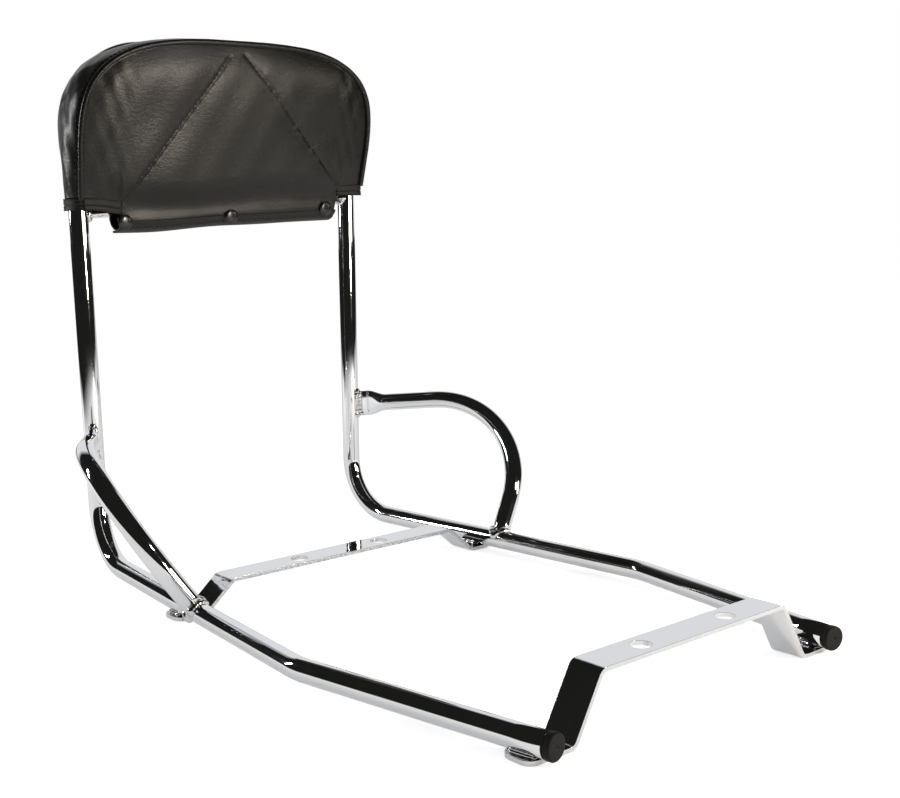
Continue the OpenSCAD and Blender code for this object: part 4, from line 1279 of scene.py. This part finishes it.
def make_camera():
    """The photograph's viewpoint: azimuth -40.33, elevation 8.56 and a slight roll."""
    azimuth, elevation, roll = VIEW_ANGLES
    level = np.cos(elevation)
    back = np.array([np.sin(azimuth) * level, -np.cos(azimuth) * level, np.sin(elevation)])
    right = unit(np.cross(-back, [0, 0, 1]))
    up = np.cross(right, -back)
    c, s = np.cos(roll), np.sin(roll)
    right, up = c * right + s * up, -s * right + c * up
    data = bpy.data.cameras.new("camera")
    data.sensor_width, data.lens = SENSOR_MM, VIEW_FOCAL_PX * SENSOR_MM / 900
    data.clip_start, data.clip_end = 0.01, 60.0
    camera = bpy.data.objects.new("camera", data)
    turned = Matrix(np.stack([right, up, back], 1).tolist()).to_4x4()
    camera.matrix_world = Matrix.Translation(VIEW_TARGET + back * VIEW_DISTANCE) @ turned
    bpy.context.scene.collection.objects.link(camera)
    bpy.context.scene.camera = camera


def set_stage():
    """Camera, floor, world and lamps, at a plain level."""
    make_camera()
    make_floor()
    make_world()
    add_lamp("key_lamp", (0.55, -1.2, 0.95), (0, 0.25, 0.3), (0.12, 0.12), 2.4)
    add_lamp("low_lamp", (0.43, -1.03, 0.30), (-0.08, 0.24, 0.4), (0.10, 0.30), 7.0, (1.0, 0.89, 0.75))
    add_lamp("right_lamp", (1.10, -0.85, 0.38), (0.05, 0.24, 0.4), (0.10, 0.30), 1.5, (1.0, 0.92, 0.80))
    add_lamp("left_strip", (-0.84, 1.0, 0.5), (-0.15, 0.25, 0.38), (0.05, 0.45), 4.0)
    bpy.context.scene.view_settings.view_transform = "Standard"


# Operators, one for each piece or group of like pieces


def operator(idname, label, doc, steps):
    """An operator class whose execute runs the given steps."""

    def execute(self, context):
        for step in steps:
            step()
        return {"FINISHED"}

    name = "BACKREST_OT_" + idname
    return type(name, (bpy.types.Operator,), {
        "__doc__": doc, "bl_idname": "backrest." + idname, "bl_label": label, "execute": execute})


OPERATORS = [
    operator("tube", "Bent tube", "Builds the main tube of the frame", [make_main_tube]),
    operator("handles", "Grab handles", "Builds the two grab handles", [make_handles]),
    operator("rod", "Cross rod", "Builds the rod between the uprights", [make_rod]),
    operator("straps", "Cross straps", "Finishes the two flat straps", [make_straps]),
    operator("welds", "Welds", "Builds the weld beads", [make_welds, make_strap_welds]),
    operator("plugs", "End plugs", "Builds the rubber end plugs", [make_plugs]),
    operator("front_panel", "Front panel", "Builds the stuffed front panel and its seams", [
        make_front_panel, make_seam_stitches]),
    operator("boxing", "Boxing", "Builds the band round the pad, its piping and topstitch", [
        make_boxing, make_topstitch, make_piping]),
    operator("back_panel", "Back panel", "Builds the back of the cover and its hem", [make_back_panel]),
    operator("bindings", "Bindings", "Builds the tapes along the cover's lower edge", [
        make_flap_binding, make_sleeve_bindings]),
    operator("studs", "Press studs", "Builds the press studs", [make_studs]),
    operator("stage", "Stage", "Sets the camera, floor, world and lamps", [set_stage]),
]


class BACKREST_PT_panel(bpy.types.Panel):
    """Lists the pieces and their sizes"""

    bl_idname = "BACKREST_PT_panel"
    bl_label = "Backrest"
    bl_space_type = "VIEW_3D"
    bl_region_type = "UI"
    bl_category = "Backrest"

    def draw(self, context):
        for made in OPERATORS:
            self.layout.operator(made.bl_idname)
        for group in ("backrest_frame", "backrest_cover", "backrest_colours"):
            values = getattr(context.scene, group)
            for key in values.bl_rna.properties.keys():
                if key not in ("rna_type", "name"):
                    self.layout.prop(values, key)


CLASSES = [FrameSizes, CoverSizes, FinishColours, *OPERATORS, BACKREST_PT_panel]


def register():
    for made in CLASSES:
        bpy.utils.register_class(made)
    bpy.types.Scene.backrest_frame = PointerProperty(type=FrameSizes)
    bpy.types.Scene.backrest_cover = PointerProperty(type=CoverSizes)
    bpy.types.Scene.backrest_colours = PointerProperty(type=FinishColours)


def unregister():
    for name in ("backrest_frame", "backrest_cover", "backrest_colours"):
        delattr(bpy.types.Scene, name)
    for made in reversed(CLASSES):
        bpy.utils.unregister_class(made)


def main():
    """Builds everything in order and writes the CAD box and the visible model's box."""
    register()
    for made in OPERATORS:
        group, name = made.bl_idname.split(".")
        getattr(getattr(bpy.ops, group), name)()


if __name__ == "__main__":
    main()
